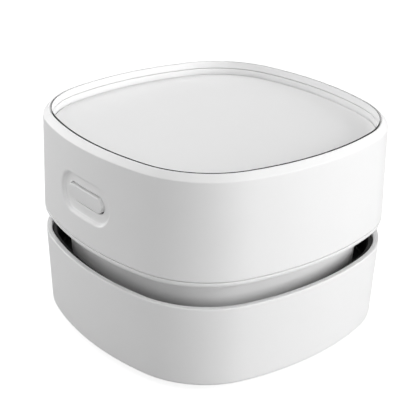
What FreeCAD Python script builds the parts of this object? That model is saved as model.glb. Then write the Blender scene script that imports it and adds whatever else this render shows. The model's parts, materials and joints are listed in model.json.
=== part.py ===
import FreeCAD, Part
import math
import os
import re
import Sketcher

# A desktop mini vacuum cleaner: a rounded-square dust cup below, a motor unit above it on a
# narrower neck, and a black filter tray that lines the mouth of the cup between the two.
# Millimetres, +Z up, the origin under the middle of the glide feet.  The power button is on
# the -Y face and the charging socket on the +Y face.  Each sub-part is a body of its own,
# drawn from its own seat upwards and placed at that height.

TOUCH = 1e-4                                     # two heights nearer than this are the same
FIND = 1e-2                                      # an edge this near a curved face lies on it
FOOT = 0.2                                       # a bevel's foot is this near its own height

SIZES = {
    # The outline at the parting line: four shallow side arcs joined by four corner arcs.
    "half_width": 43.0,
    "side_radius": 82.55,
    "corner_radius": 26.44,
    # The stack, from the table upwards.
    "foot_height": 1.5,
    "cup_height": 22.8,
    "gap_height": 5.74,
    "band_height": 1.72,
    "housing_height": 27.24,
    # Clearances.
    "seat_gap": 0.1,
    "slide_gap": 0.15,
    "running_gap": 0.05,
    "panel_gap": 0.12,
    "screw_gap": 0.3,
    # Lower shell: insets are measured inwards from the outline at the parting line.
    "cup_rim_inset": 0.14,
    "cup_base_inset": 0.9,
    "cup_wall": 1.5,
    "cup_floor": 1.8,
    "cup_edge_round": 0.8,
    "cup_rim_chamfer": 0.3,
    "dust_depth": 10.5,
    "rib_thickness": 1.2,
    "rib_depth": 3.0,
    "rib_swing": 11.0,
    # Inlet duct, brush and feet.
    "duct_bore": 7.5,
    "duct_wall": 1.3,
    "duct_flare": 1.0,
    "duct_rise": 5.5,
    "duct_flange": 2.2,
    "duct_flange_thickness": 1.0,
    "brush_radius": 14.2,
    "brush_width": 4.2,
    "brush_seat": 1.0,
    "tuft_radius": 0.7,
    "tuft_flare": 0.25,
    "tuft_clearance": 0.2,
    "tuft_count": 24,
    "foot_radius": 5.0,
    "foot_reach": 9.88,
    "foot_seat": 0.6,
    # Filter tray, its cartridge and the seal under the neck.
    "tray_wall": 1.2,
    "tray_floor": 1.5,
    "tray_rim_drop": 0.4,
    "collar_inset": 15.2,
    "collar_wall": 1.2,
    "collar_height": 9.2,
    "window_ledge": 2.0,
    "grid_bar": 1.2,
    "grid_thickness": 1.0,
    "grid_pitch": 7.0,
    "frame_wall": 1.4,
    "frame_height": 8.6,
    "pleat_pitch": 3.6,
    "pleat_sheet": 0.5,
    "pleat_margin": 0.5,
    "gasket_thickness": 1.0,
    "gasket_lip": 0.5,
    # Neck ring.
    "neck_inset": 6.2,
    "neck_draft": 3.4,
    "neck_wall": 1.5,
    "neck_flange": 1.5,
    "neck_mouth_inset": 16.0,
    # Bottom cover with the fan eye and the exhaust slots.
    "cover_plate": 1.96,
    "cover_edge_round": 1.1,
    "spigot_wall": 1.2,
    "spigot_height": 1.68,
    "eye_radius": 13.0,
    "guard_thickness": 1.2,
    "guard_spoke": 1.2,
    "guard_ring_radius": 7.0,
    "guard_hub_radius": 2.6,
    "spoke_count": 6,
    "slot_inset": 3.5,
    "slot_width": 2.4,
    "slot_length": 4.2,
    "slot_step": 4.1,
    "slot_count": 7,
    # Upper housing and top panel.
    "housing_rim_inset": 0.8,
    "housing_wall": 1.9,
    "rim_width": 2.3,
    "rim_bevel": 1.5,
    "rim_round": 0.4,
    "rim_inner_round": 0.4,
    "recess_depth": 3.98,
    "recess_slope_depth": 2.2,
    "recess_slope": 0.11,
    "parting_round": 0.2,
    "roof_thickness": 1.4,
    "panel_thickness": 1.2,
    "panel_edge_round": 0.15,
    # Posts, sleeves and the screws that clamp neck and cover to the housing.
    "post_reach": 9.38,
    "post_radius": 3.2,
    "post_tip_radius": 2.3,
    "sleeve_wall": 1.1,
    "pilot_radius": 0.85,
    "screw_head_radius": 2.0,
    "screw_head": 1.3,
    "screw_length": 11.0,
    # Button, its dish in the front wall and its switch.
    "button_rise": 12.24,
    "dish_length": 21.0,
    "dish_width": 10.1,
    "dish_depth": 1.0,
    "dish_lip_round": 0.8,
    "dish_foot_round": 0.5,
    "button_length": 15.5,
    "button_width": 4.5,
    "button_gap": 0.2,
    "button_proud": 0.35,
    "button_face_round": 0.4,
    "button_ear": 2.0,
    "button_flange": 1.0,
    "button_travel": 0.9,
    "stem_radius": 1.6,
    "stem_length": 2.2,
    "switch_length": 6.0,
    "switch_width": 3.0,
    "switch_depth": 3.0,
    "plunger_radius": 0.8,
    "plunger_reach": 1.2,
    "plunger_root": 1.0,
    "button_board_length": 16.0,
    "button_board_rise": 4.4,
    "button_board_thickness": 1.0,
    "guide_wall": 1.2,
    "guide_grip": 1.5,
    "guide_height": 4.0,
    # Fan deck and impeller.
    "fan_height": 8.2,
    "deck_thickness": 1.2,
    "impeller_radius": 22.0,
    "impeller_plate": 1.0,
    "impeller_floor_gap": 0.8,
    "impeller_roof_gap": 1.2,
    "hub_radius": 3.6,
    "blade_count": 11,
    "blade_root_radius": 9.5,
    "blade_thickness": 0.9,
    "blade_bow": 13.0,
    "blade_sweep": 38.0,
    # Motor.
    "motor_radius": 12.2,
    "motor_roof_gap": 0.42,
    "can_wall": 0.8,
    "boss_radius": 3.1,
    "boss_height": 1.2,
    "shaft_radius": 1.0,
    "bush_wall": 1.3,
    "magnet_wall": 1.6,
    "magnet_gap": 1.3,
    "armature_gap": 0.4,
    "armature_end_gap": 0.5,
    "armature_arm": 3.2,
    "armature_core": 3.4,
    "armature_shoe": 1.2,
    "end_cap_height": 0.8,
    "motor_collar_wall": 1.2,
    "motor_collar_height": 1.6,
    "motor_screw_place": 8.2,
    "motor_screw_radius": 0.8,
    "motor_screw_head_radius": 1.6,
    "motor_screw_head": 0.7,
    # Battery, main board and charging socket.
    "battery_post_gap": 0.8,
    "battery_wall_gap": 5.0,
    "battery_height": 5.5,
    "battery_round": 1.6,
    "battery_gap": 1.2,
    "tape_thickness": 0.6,
    "board_side_gap": 0.5,
    "board_width": 19.0,
    "board_thickness": 1.0,
    "board_standoff": 1.6,
    "board_wall_gap": 2.0,
    "board_screw_margin": 3.0,
    "board_screw_radius": 0.6,
    "board_screw_head_radius": 1.3,
    "board_screw_head": 0.8,
    "standoff_radius": 2.0,
    "chip_side": 4.0,
    "chip_gap": 1.0,
    "chip_height": 0.9,
    "coil_side": 5.0,
    "coil_height": 2.4,
    "coil_margin": 1.0,
    "socket_length": 8.94,
    "socket_height": 3.26,
    "socket_depth": 7.3,
    "socket_shell": 0.3,
    "socket_tongue": 0.7,
    "socket_drop": 0.6,
    "socket_gap": 0.2,
}

# Sizes that follow from the ones above, written in the same names.
DERIVED = {
    "side_centre": "side_radius-half_width",
    "corner_apart": "side_radius-corner_radius",
    "corner_centre": "(sqrt(2*corner_apart*corner_apart-side_centre*side_centre)-side_centre)/2",
    "foot_place": "corner_centre+foot_reach",
    "post_place": "corner_centre+post_reach",
    "cup_slope": "(cup_base_inset-cup_rim_inset)/cup_height",
    "housing_slope": "housing_rim_inset/housing_height",
    "tray_level": "foot_height+cup_floor+dust_depth",
    "tray_height": "cup_height-cup_floor-dust_depth-tray_rim_drop",
    "tray_inset": "cup_rim_inset+cup_wall+(cup_height-cup_floor-dust_depth)*cup_slope+slide_gap",
    "filter_level": "tray_level+tray_floor",
    "collar_bore_inset": "collar_inset+collar_wall",
    "cover_level": "foot_height+cup_height+gap_height",
    "neck_level": "filter_level+gasket_thickness+seat_gap",
    "neck_height": "cover_level-(neck_level)",
    "neck_foot_inset": "neck_inset+neck_height*tan(neck_draft)",
    "parting_level": "cover_level+band_height",
    "fan_level": "cover_level+cover_plate",
    "deck_level": "fan_level+fan_height",
    "deck_top": "deck_level+deck_thickness",
    "rim_level": "parting_level+housing_height",
    "panel_level": "rim_level-recess_depth-panel_thickness",
    "roof_level": "panel_level-roof_thickness",
    "recess_inset": "housing_rim_inset+rim_width",
    "seat_inset": "recess_inset+recess_slope",
    "deck_inset": "housing_wall+housing_slope*(deck_level-(parting_level))+slide_gap",
    "sleeve_bore": "post_tip_radius+slide_gap",
    "sleeve_radius": "sleeve_bore+sleeve_wall",
    "button_level": "parting_level+button_rise",
    "button_wall": "half_width-housing_slope*button_rise",
    "ear_reach": "button_length/2+button_ear",
    "wall_bow": "side_radius-housing_wall",
    "ear_fall": "wall_bow-sqrt(wall_bow*wall_bow-ear_reach*ear_reach)",
    "flange_front": "button_wall-housing_wall-ear_fall-seat_gap",
    "stem_end": "flange_front-button_flange-stem_length",
    "switch_front": "stem_end-plunger_reach",
    "impeller_level": "fan_level+impeller_floor_gap",
    "impeller_height": "fan_height-impeller_floor_gap-impeller_roof_gap",
    "can_bore": "motor_radius-can_wall",
    "bush_radius": "shaft_radius+running_gap+bush_wall",
    "armature_radius": "can_bore-magnet_wall-armature_gap",
    "can_height": "roof_level-(deck_top)-end_cap_height-motor_roof_gap",
    "magnet_height": "can_height-can_wall-end_cap_height-2*magnet_gap",
    "armature_height": "magnet_height-2*armature_end_gap",
    "end_cap_level": "deck_top+can_height",
    "magnet_level": "deck_top+(can_height-magnet_height)/2+can_wall/2",
    "armature_level": "deck_top+(can_height-armature_height)/2+can_wall/2",
    "board_level": "deck_top+board_standoff",
    "socket_level": "board_level+board_thickness",
    "socket_middle": "socket_level+socket_height/2",
    "socket_wall": "half_width-housing_slope*(socket_middle-(parting_level))",
    "socket_face": "socket_wall-socket_drop",
    "board_edge": "socket_wall-housing_wall-board_wall_gap",
    "button_board_height": "button_level-(deck_top)+button_board_rise",
    "battery_near": "motor_radius+motor_collar_wall+battery_gap",
    "battery_width": "half_width-housing_wall-battery_wall_gap-(battery_near)",
    "battery_length": "2*(post_place-post_radius-battery_post_gap)",
    "board_length": "2*(battery_near-board_side_gap)",
    "board_screw_place": "board_length/2-board_screw_margin",
}

doc = FreeCAD.newDocument("DeskVacuum")
sheet = doc.addObject("Spreadsheet::Sheet", "sizes")
for row, (alias, size) in enumerate(SIZES.items(), 1):
    sheet.set(f"A{row}", alias)
    sheet.set(f"B{row}", str(size))
    sheet.setAlias(f"B{row}", alias)
doc.recompute()


def cells(formula):
    """A formula with derived names written out and each sheet name pointed at its cell."""
    def spell(match):
        word = match[0]
        if word in DERIVED:
            return "(" + cells(DERIVED[word]) + ")"
        return "sizes." + word if word in SIZES else word
    return re.sub(r"[a-z_]+", spell, formula)


def number(formula):
    """What a formula comes to, in millimetres or degrees."""
    value = sheet.evalExpression(cells(formula))
    return float(getattr(value, "Value", value))


# Sketches: every dimension is bound to a formula of the sheet.

def new_body(label, level):
    """A sub-part's body, standing at a height above the table."""
    body = doc.addObject("PartDesign::Body", label)
    body.Label = label
    body.setExpression("Placement.Base.z", cells(level))
    return body


def origin(body, role):
    """One of a body's own origin planes or axes."""
    return next(item for item in body.Origin.OriginFeatures if item.Role == role)


def new_sketch(body, name, plane, height="0", x="0", y="0", turn="0"):
    """An empty sketch, moved off one of its body's origin planes."""
    made = body.newObject("Sketcher::SketchObject", name)
    made.AttachmentSupport = (origin(body, plane), [""])
    made.MapMode = "FlatFace"
    made.setExpression("AttachmentOffset.Base.x", cells(x))
    made.setExpression("AttachmentOffset.Base.y", cells(y))
    made.setExpression("AttachmentOffset.Base.z", cells(height))
    made.setExpression("AttachmentOffset.Rotation.Angle", cells(turn))
    return made


def measure(made, kind, formula, *ends):
    """A dimension between two ends of a sketch."""
    index = made.addConstraint(Sketcher.Constraint(kind, *ends, number(formula)))
    made.setExpression(f"Constraints[{index}]", cells(formula))


def pin(made, element, end, x, y):
    """Hold one end of an element at a place measured from the sketch's origin."""
    measure(made, "DistanceX", x, -1, 1, element, end)
    measure(made, "DistanceY", y, -1, 1, element, end)


def join(made, kind, first, count):
    """Join elements end to end in a closed loop."""
    for step in range(count):
        after = first + (step + 1) % count
        made.addConstraint(Sketcher.Constraint(kind, first + step, 2, after, 1))


def circle(made, radius, x="0", y="0"):
    index = made.GeometryCount
    centre = FreeCAD.Vector(number(x), number(y), 0)
    made.addGeometry(Part.Circle(centre, FreeCAD.Vector(0, 0, 1), number(radius)), False)
    measure(made, "Radius", radius, index)
    pin(made, index, 3, x, y)


def polygon(made, points):
    """A closed run of straight lines through points given as pairs of formulas."""
    first = made.GeometryCount
    spots = [FreeCAD.Vector(number(x), number(y), 0) for x, y in points]
    sides = zip(spots, spots[1:] + spots[:1])
    made.addGeometry([Part.LineSegment(start, end) for start, end in sides], False)
    join(made, "Coincident", first, len(points))
    for step, (x, y) in enumerate(points):
        pin(made, first + step, 1, x, y)


def rectangle(made, left, right, low, high):
    polygon(made, [(left, low), (right, low), (right, high), (left, high)])


def stadium(made, length, width):
    """A slot shape along X: two straight sides and two half circles."""
    first = made.GeometryCount
    offset, bend = f"(({length})-({width}))/2", f"({width})/2"
    middle, radius = number(offset), number(bend)
    up = FreeCAD.Vector(0, 0, 1)
    corner = [FreeCAD.Vector(x * middle, y * radius, 0)
              for x, y in ((-1, -1), (1, -1), (1, 1), (-1, 1))]
    right = Part.Circle(FreeCAD.Vector(middle, 0, 0), up, radius)
    left = Part.Circle(FreeCAD.Vector(-middle, 0, 0), up, radius)
    quarter = math.pi / 2
    made.addGeometry([
        Part.LineSegment(corner[0], corner[1]),
        Part.ArcOfCircle(right, -quarter, quarter),
        Part.LineSegment(corner[2], corner[3]),
        Part.ArcOfCircle(left, quarter, 3 * quarter),
    ], False)
    join(made, "Tangent", first, 4)
    pin(made, first + 1, 3, offset, "0")
    pin(made, first + 3, 3, f"-{offset}", "0")
    measure(made, "Radius", bend, first + 1)
    made.addConstraint(Sketcher.Constraint("Equal", first + 1, first + 3))


def squircle(made, inset):
    """The outline moved inwards: four side arcs and four corner arcs, tangent to each other.

    A side arc's centre lies beyond the middle, side_centre away, whatever the inset is, and
    the corner arcs keep their centres too.
    """
    first = made.GeometryCount
    beyond, corner = number("side_centre"), number("corner_centre")
    wide = number(f"side_radius-({inset})")
    tight = number(f"corner_radius-({inset})")
    swing = math.atan2(corner, corner + beyond)
    up = FreeCAD.Vector(0, 0, 1)
    arcs = []
    for turn in (0, math.pi / 2, math.pi, 3 * math.pi / 2):
        spin = FreeCAD.Rotation(up, math.degrees(turn))
        side_centre = spin.multVec(FreeCAD.Vector(-beyond, 0, 0))
        corner_centre = spin.multVec(FreeCAD.Vector(corner, corner, 0))
        side = Part.Circle(side_centre, up, wide)
        bend = Part.Circle(corner_centre, up, tight)
        arcs.append(Part.ArcOfCircle(side, turn - swing, turn + swing))
        arcs.append(Part.ArcOfCircle(bend, turn + swing, turn + math.pi / 2 - swing))
    made.addGeometry(arcs, False)
    join(made, "Tangent", first, 8)
    for quadrant in range(4):
        side = first + 2 * quadrant
        made.addConstraint(Sketcher.Constraint("PointOnObject", side, 3, -1 - quadrant % 2))
        kind = "DistanceY" if quadrant % 2 else "DistanceX"
        ends = (-1, 1, side, 3) if quadrant > 1 else (side, 3, -1, 1)
        measure(made, kind, "side_centre", *ends)
        if quadrant:
            made.addConstraint(Sketcher.Constraint("Equal", first, side))
            made.addConstraint(Sketcher.Constraint("Equal", first + 1, side + 1))
    measure(made, "Radius", f"side_radius-({inset})", first)
    measure(made, "Radius", f"corner_radius-({inset})", first + 1)


def outline(body, name, height, *insets):
    """A level sketch of one squircle, or of two that make a ring."""
    made = new_sketch(body, name, "XY_Plane", height)
    for inset in insets:
        squircle(made, inset)
    return made


def side_sketch(body, name, height, swing):
    """A level sketch with its origin at the centre of the front side's arc, turned by swing."""
    return new_sketch(body, name, "XY_Plane", height, y="side_centre", turn=swing)


# Features.

def grow(body, kind, name, profile, length, taper, backwards):
    feature = body.newObject(kind, name)
    feature.Profile = profile
    feature.setExpression("Length", cells(length))
    feature.setExpression("TaperAngle", cells(taper))
    feature.Reversed = backwards
    return feature


def pad(body, name, profile, length, taper="0", backwards=False):
    """Add material along the sketch's normal, or against it; a negative taper narrows."""
    return grow(body, "PartDesign::Pad", name, profile, length, taper, backwards)


def pocket(body, name, profile, length, taper="0", upwards=False):
    """Cut against the sketch's normal, or along it, and see that something was cut."""
    doc.recompute()
    before = body.Shape.Volume
    feature = grow(body, "PartDesign::Pocket", name, profile, length, taper, upwards)
    doc.recompute()
    if body.Shape.Volume > before - TOUCH:
        raise RuntimeError(f"{body.Label}: {name} cuts nothing")
    return feature


def revolve(body, name, profile):
    """Turn a profile about the sketch's own upright axis."""
    feature = body.newObject("PartDesign::Revolution", name)
    feature.Profile = profile
    feature.ReferenceAxis = (profile, ["V_Axis"])
    feature.Angle = 360
    return feature


def polar(body, name, count, axis, angle="360"):
    feature = body.newObject("PartDesign::PolarPattern", name)
    feature.Axis = axis
    feature.setExpression("Angle", cells(angle))
    feature.setExpression("Occurrences", cells(count))
    return feature


def around(body, name, features, count):
    """Repeat features evenly about the upright axis through the middle."""
    pattern = polar(body, name, count, (origin(body, "Z_Axis"), [""]))
    pattern.Originals = features
    body.Tip = pattern
    return pattern


def along_sides(body, name, feature, profile, count, angle):
    """Repeat a feature along the front side's arc, and the whole row on all four sides."""
    whole = body.newObject("PartDesign::MultiTransform", name)
    whole.Originals = [feature]
    row = polar(body, name + "_row", count, (profile, ["N_Axis"]), angle)
    sides = polar(body, name + "_sides", "4", (origin(body, "Z_Axis"), [""]))
    whole.Transformations = [row, sides]
    body.Tip = whole
    return whole


def in_line(body, name, feature, axis, count, pitch):
    """Repeat a feature along X or Y."""
    pattern = body.newObject("PartDesign::LinearPattern", name)
    pattern.Originals = [feature]
    pattern.Direction = (origin(body, axis), [""])
    pattern.setExpression("Length", cells(f"({count}-1)*({pitch})"))
    pattern.setExpression("Occurrences", cells(count))
    body.Tip = pattern
    return pattern


def level_edges(shape, height, outer=True):
    """Edges round the widest flat face at a height: its outer loop, or its inner ones."""
    level = number(height)
    flat = [face for face in shape.Faces
            if abs(face.BoundBox.ZMin - level) < TOUCH and abs(face.BoundBox.ZMax - level) < TOUCH]
    face = max(flat, key=lambda each: each.Area)
    loops = [wire for wire in face.Wires if wire.isSame(face.OuterWire) == outer]
    wanted = [edge for wire in loops for edge in wire.Edges]
    return [f"Edge{index}" for index, edge in enumerate(shape.Edges, 1)
            if any(edge.isSame(each) for each in wanted)]


def bevel_foot(shape, height):
    """Level edges that lie within a small reach of a height."""
    level = number(height)
    return [f"Edge{index}" for index, edge in enumerate(shape.Edges, 1)
            if edge.BoundBox.ZLength < TOUCH and abs(edge.BoundBox.ZMin - level) < FOOT]


def upright_edges(shape):
    """Straight edges that stand parallel to Z."""
    return [f"Edge{index}" for index, edge in enumerate(shape.Edges, 1)
            if edge.BoundBox.XLength < TOUCH and edge.BoundBox.YLength < TOUCH]


def front_edges(shape, distance):
    """Edges that lie in the plane a distance in front of the middle."""
    place = -number(distance)
    return [f"Edge{index}" for index, edge in enumerate(shape.Edges, 1)
            if abs(edge.BoundBox.YMin - place) < TOUCH and abs(edge.BoundBox.YMax - place) < TOUCH]


def dish_edges(shape, depth):
    """Edges of the button's dish that lie a depth below the front wall's outer face."""
    beyond, rise = number("side_centre"), number("button_rise")
    half, bend = number("(dish_length-dish_width)/2"), number("dish_width/2")
    picked = []
    for index, edge in enumerate(shape.Edges, 1):
        spot = edge.valueAt((edge.FirstParameter + edge.LastParameter) / 2)
        face = number("side_radius") - number("housing_slope") * spot.z - number(depth)
        on_face = abs(math.hypot(spot.x, spot.y - beyond) - face) < FIND
        across = math.hypot(max(abs(spot.x) - half, 0), spot.z - rise)
        if spot.y < 0 and on_face and abs(across - bend) < FIND:
            picked.append(f"Edge{index}")
    return picked


def dress(body, kind, name, size, edges):
    """Round or bevel edges of the body's last feature."""
    base = body.Tip
    feature = body.newObject(kind, name)
    feature.Base = (base, edges)
    feature.setExpression("Radius" if kind.endswith("Fillet") else "Size", cells(size))
    doc.recompute()
    return feature


def fillet(body, name, radius, pick, *details):
    doc.recompute()
    return dress(body, "PartDesign::Fillet", name, radius, pick(body.Tip.Shape, *details))


def chamfer(body, name, size, pick, *details):
    doc.recompute()
    return dress(body, "PartDesign::Chamfer", name, size, pick(body.Tip.Shape, *details))


# Dust cup.

def lower_shell():
    """White moulded cup: drafted walls, a floor with the inlet, and ribs that carry the tray."""
    body = new_body("lower_shell", "foot_height")
    pad(body, "wall", outline(body, "base", "0", "cup_base_inset"), "cup_height", "atan(cup_slope)")
    fillet(body, "base_round", "cup_edge_round", level_edges, "0")
    mouth = outline(body, "mouth", "cup_height", "cup_rim_inset+cup_wall")
    pocket(body, "cavity", mouth, "cup_height-cup_floor", "-atan(cup_slope)")
    chamfer(body, "mouth_bevel", "cup_rim_chamfer", level_edges, "cup_height", False)
    fillet(body, "rim_round", "cup_rim_chamfer", level_edges, "cup_height")

    inlet = new_sketch(body, "inlet", "XY_Plane", "cup_floor")
    circle(inlet, "duct_bore+duct_flare+duct_wall+seat_gap")
    pocket(body, "inlet_hole", inlet, "cup_floor")
    groove = new_sketch(body, "brush_groove", "XY_Plane")
    circle(groove, "brush_radius+brush_width/2+seat_gap")
    circle(groove, "brush_radius-brush_width/2-seat_gap")
    pocket(body, "brush_seat_cut", groove, "brush_seat", upwards=True)
    foot = new_sketch(body, "foot_spot", "XY_Plane")
    circle(foot, "foot_radius+seat_gap", "foot_place", "foot_place")
    seat = pocket(body, "foot_seat_cut", foot, "foot_seat", upwards=True)
    around(body, "foot_seats", [seat], "4")

    rib = side_sketch(body, "rib", "cup_floor", "-rib_swing")
    root = "side_radius-cup_base_inset-cup_wall/2"
    rectangle(rib, "-rib_thickness/2", "rib_thickness/2", f"-({root})", f"-({root})+rib_depth")
    first = pad(body, "first_rib", rib, "dust_depth-seat_gap")
    along_sides(body, "ribs", first, rib, "2", "2*rib_swing")
    return body


def inlet_duct():
    """Chimney over the inlet: it keeps dust in the cup when the fan stops."""
    body = new_body("inlet_duct", "foot_height")
    profile = new_sketch(body, "profile", "XZ_Plane")
    outer = "duct_bore+duct_flare+duct_wall"
    collar = "cup_floor+duct_flange_thickness"
    polygon(profile, [
        ("duct_bore+duct_flare", "0"),
        (outer, "0"),
        (outer, "cup_floor"),
        (f"{outer}+duct_flange", "cup_floor"),
        (f"{outer}+duct_flange", collar),
        (outer, collar),
        ("duct_bore+duct_wall", f"{collar}+duct_flare"),
        ("duct_bore+duct_wall", f"{collar}+duct_rise-duct_flange_thickness"),
        ("duct_bore", f"{collar}+duct_rise-duct_flange_thickness"),
        ("duct_bore", f"{collar}+duct_flare"),
    ])
    revolve(body, "chimney", profile)
    return body


def brush_ring():
    """Ring set into the floor's underside, with a hole for each tuft."""
    body = new_body("brush_ring", "foot_height")
    ring = new_sketch(body, "ring", "XY_Plane")
    circle(ring, "brush_radius+brush_width/2")
    circle(ring, "brush_radius-brush_width/2")
    pad(body, "plate", ring, "brush_seat")
    hole = new_sketch(body, "tuft_spot", "XY_Plane", "brush_seat")
    circle(hole, "tuft_radius", "brush_radius")
    first = pocket(body, "first_hole", hole, "brush_seat")
    around(body, "holes", [first], "tuft_count")
    return body


def bristle_tufts():
    """Nylon tufts, spread a little at the tips, which end just above the table."""
    body = new_body("bristle_tufts", "tuft_clearance")
    profile = new_sketch(body, "profile", "XZ_Plane", x="brush_radius")
    underside = "foot_height-tuft_clearance"
    polygon(profile, [
        ("0", "0"),
        ("tuft_radius+tuft_flare", "0"),
        ("tuft_radius", underside),
        ("tuft_radius", f"{underside}+brush_seat"),
        ("0", f"{underside}+brush_seat"),
    ])
    around(body, "tufts", [revolve(body, "first_tuft", profile)], "tuft_count")
    return body


def glide_feet():
    """Four soft pads sunk a little into the floor."""
    body = new_body("glide_feet", "0")
    spot = new_sketch(body, "spot", "XZ_Plane", "-foot_place", x="foot_place")
    edge = "foot_seat/2"
    polygon(spot, [
        ("0", "0"),
        (f"foot_radius-{edge}", "0"),
        ("foot_radius", edge),
        ("foot_radius", "foot_height+foot_seat"),
        ("0", "foot_height+foot_seat"),
    ])
    around(body, "feet", [revolve(body, "first_foot", spot)], "4")
    return body


# Filter unit.

def filter_tray():
    """Black tray that lines the mouth of the cup: a moat, a collar and a grid under the filter."""
    body = new_body("filter_tray", "tray_level")
    pad(body, "wall", outline(body, "base", "0", "tray_inset"), "tray_height", "atan(cup_slope)")
    top_inset = "tray_inset-tray_height*cup_slope"
    mouth = outline(body, "mouth", "tray_height", f"{top_inset}+tray_wall")
    pocket(body, "moat", mouth, "tray_height-tray_floor", "-atan(cup_slope)")
    collar = outline(body, "collar", "tray_floor", "collar_inset", "collar_bore_inset")
    pad(body, "collar_wall", collar, "collar_height")
    window = outline(body, "window", "tray_floor", "collar_bore_inset+window_ledge")
    pocket(body, "window_cut", window, "tray_floor")

    reach = "half_width-collar_bore_inset-window_ledge/2"
    first = f"-floor(({reach})/grid_pitch)*grid_pitch"
    count = f"2*floor(({reach})/grid_pitch)+1"
    for axis, across in (("Y_Axis", "X"), ("X_Axis", "Y")):
        bar = new_sketch(body, "bar_" + across, "XY_Plane")
        thin = (f"{first}-grid_bar/2", f"{first}+grid_bar/2")
        long = (f"-({reach})", reach)
        rectangle(bar, *(long + thin if across == "X" else thin + long))
        start = pad(body, "first_bar_" + across, bar, "grid_thickness")
        in_line(body, "bars_" + across, start, axis, count, "grid_pitch")
    return body


def filter_frame():
    """Frame that holds the edge of the pleats inside the collar."""
    body = new_body("filter_frame", "filter_level")
    ring = outline(body, "ring", "0", "collar_bore_inset+slide_gap",
                   "collar_bore_inset+slide_gap+frame_wall")
    pad(body, "wall", ring, "frame_height")
    return body


def filter_media():
    """Folded filter sheet: a zigzag drawn once, run across the frame and trimmed to its bore."""
    body = new_body("filter_media", "filter_level")
    edge_inset = "collar_bore_inset+slide_gap+frame_wall+seat_gap"
    half = f"(half_width-({edge_inset}))"
    folds = 2 * int(number(f"2*{half}/pleat_pitch"))
    low, high = "pleat_margin", "frame_height-pleat_margin-2*pleat_sheet"
    ridge = [(f"({step}-{folds}/2)*pleat_pitch/2", high if step % 2 else low)
             for step in range(folds + 1)]
    above = [(x, f"{z}+2*pleat_sheet") for x, z in reversed(ridge)]
    zigzag = new_sketch(body, "zigzag", "XZ_Plane", f"-{half}")
    polygon(zigzag, ridge + above)
    pad(body, "sheet", zigzag, f"2*{half}")
    trim = new_sketch(body, "trim", "XY_Plane")
    rectangle(trim, "-half_width", "half_width", "-half_width", "half_width")
    squircle(trim, edge_inset)
    pocket(body, "trim_cut", trim, "frame_height", upwards=True)
    return body


def neck_gasket():
    """Soft ring in the tray on which the neck stands."""
    body = new_body("neck_gasket", "filter_level")
    ring = outline(body, "ring", "0", "neck_foot_inset-gasket_lip",
                   "neck_foot_inset+neck_wall+gasket_lip")
    pad(body, "seal", ring, "gasket_thickness")
    return body


# Upper unit: casing.

def neck_ring():
    """Grey neck: a drafted ring under the bottom cover, with a flange inside its top."""
    body = new_body("neck_ring", "neck_level")
    foot = outline(body, "foot", "0", "neck_foot_inset")
    pad(body, "wall", foot, "neck_height", "neck_draft")
    bore = outline(body, "bore", "0", "neck_foot_inset+neck_wall")
    pocket(body, "bore_cut", bore, "neck_height-neck_flange", "neck_draft", upwards=True)
    mouth = outline(body, "mouth", "neck_height", "neck_mouth_inset")
    pocket(body, "mouth_cut", mouth, "neck_flange")
    hole = new_sketch(body, "screw_spot", "XY_Plane", "neck_height")
    circle(hole, "pilot_radius+screw_gap", "post_place", "post_place")
    first = pocket(body, "first_screw_hole", hole, "neck_flange")
    around(body, "screw_holes", [first], "4")
    return body


def bottom_cover():
    """Cover under the motor unit: its edge shows as a band, its ring breathes out of slots."""
    body = new_body("bottom_cover", "cover_level")
    pad(body, "band", outline(body, "edge", "0", "0"), "band_height")
    fillet(body, "edge_round", "cover_edge_round", level_edges, "0")
    fillet(body, "parting_edge", "parting_round", level_edges, "band_height")
    spigot_inset = "housing_wall+slide_gap"
    pad(body, "spigot", outline(body, "spigot_edge", "band_height", spigot_inset), "spigot_height")
    dish = outline(body, "dish", "band_height+spigot_height", f"{spigot_inset}+spigot_wall")
    pocket(body, "dish_cut", dish, "band_height+spigot_height-cover_plate")

    eye = new_sketch(body, "eye", "XY_Plane", "cover_plate")
    circle(eye, "eye_radius")
    pocket(body, "eye_cut", eye, "cover_plate")
    hub = new_sketch(body, "guard_hub", "XY_Plane")
    circle(hub, "guard_ring_radius+guard_spoke/2")
    circle(hub, "guard_ring_radius-guard_spoke/2")
    circle(hub, "guard_hub_radius")
    pad(body, "guard_rings", hub, "guard_thickness")
    spoke = new_sketch(body, "spoke", "XY_Plane")
    rectangle(spoke, "guard_hub_radius/2", "eye_radius+guard_spoke/2", "-guard_spoke/2", "guard_spoke/2")
    around(body, "spokes", [pad(body, "first_spoke", spoke, "guard_thickness")], "spoke_count")

    slot = side_sketch(body, "slot", "cover_plate", "-slot_step*(slot_count-1)/2")
    far = "side_radius-slot_inset"
    rectangle(slot, "-slot_length/2", "slot_length/2", f"-({far})", f"-({far})+slot_width")
    first = pocket(body, "first_slot", slot, "cover_plate")
    along_sides(body, "slots", first, slot, "slot_count", "slot_step*(slot_count-1)")

    hole = new_sketch(body, "screw_spot", "XY_Plane", "cover_plate")
    circle(hole, "pilot_radius+screw_gap", "post_place", "post_place")
    first = pocket(body, "first_screw_hole", hole, "cover_plate")
    around(body, "screw_holes", [first], "4")
    return body


def dish_cutter():
    """The shape of the dish round the button: a stadium that follows the bow of the wall."""
    body = new_body("dish_cutter", "0")
    face = new_sketch(body, "face", "XZ_Plane", "half_width", y="button_rise")
    stadium(face, "dish_length", "dish_width")
    pad(body, "block", face, "half_width/2", "0", True)
    inner = outline(body, "inner", "0", "dish_depth")
    pocket(body, "bow", inner, "housing_height", "-atan(housing_slope)", upwards=True)
    return body


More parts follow.
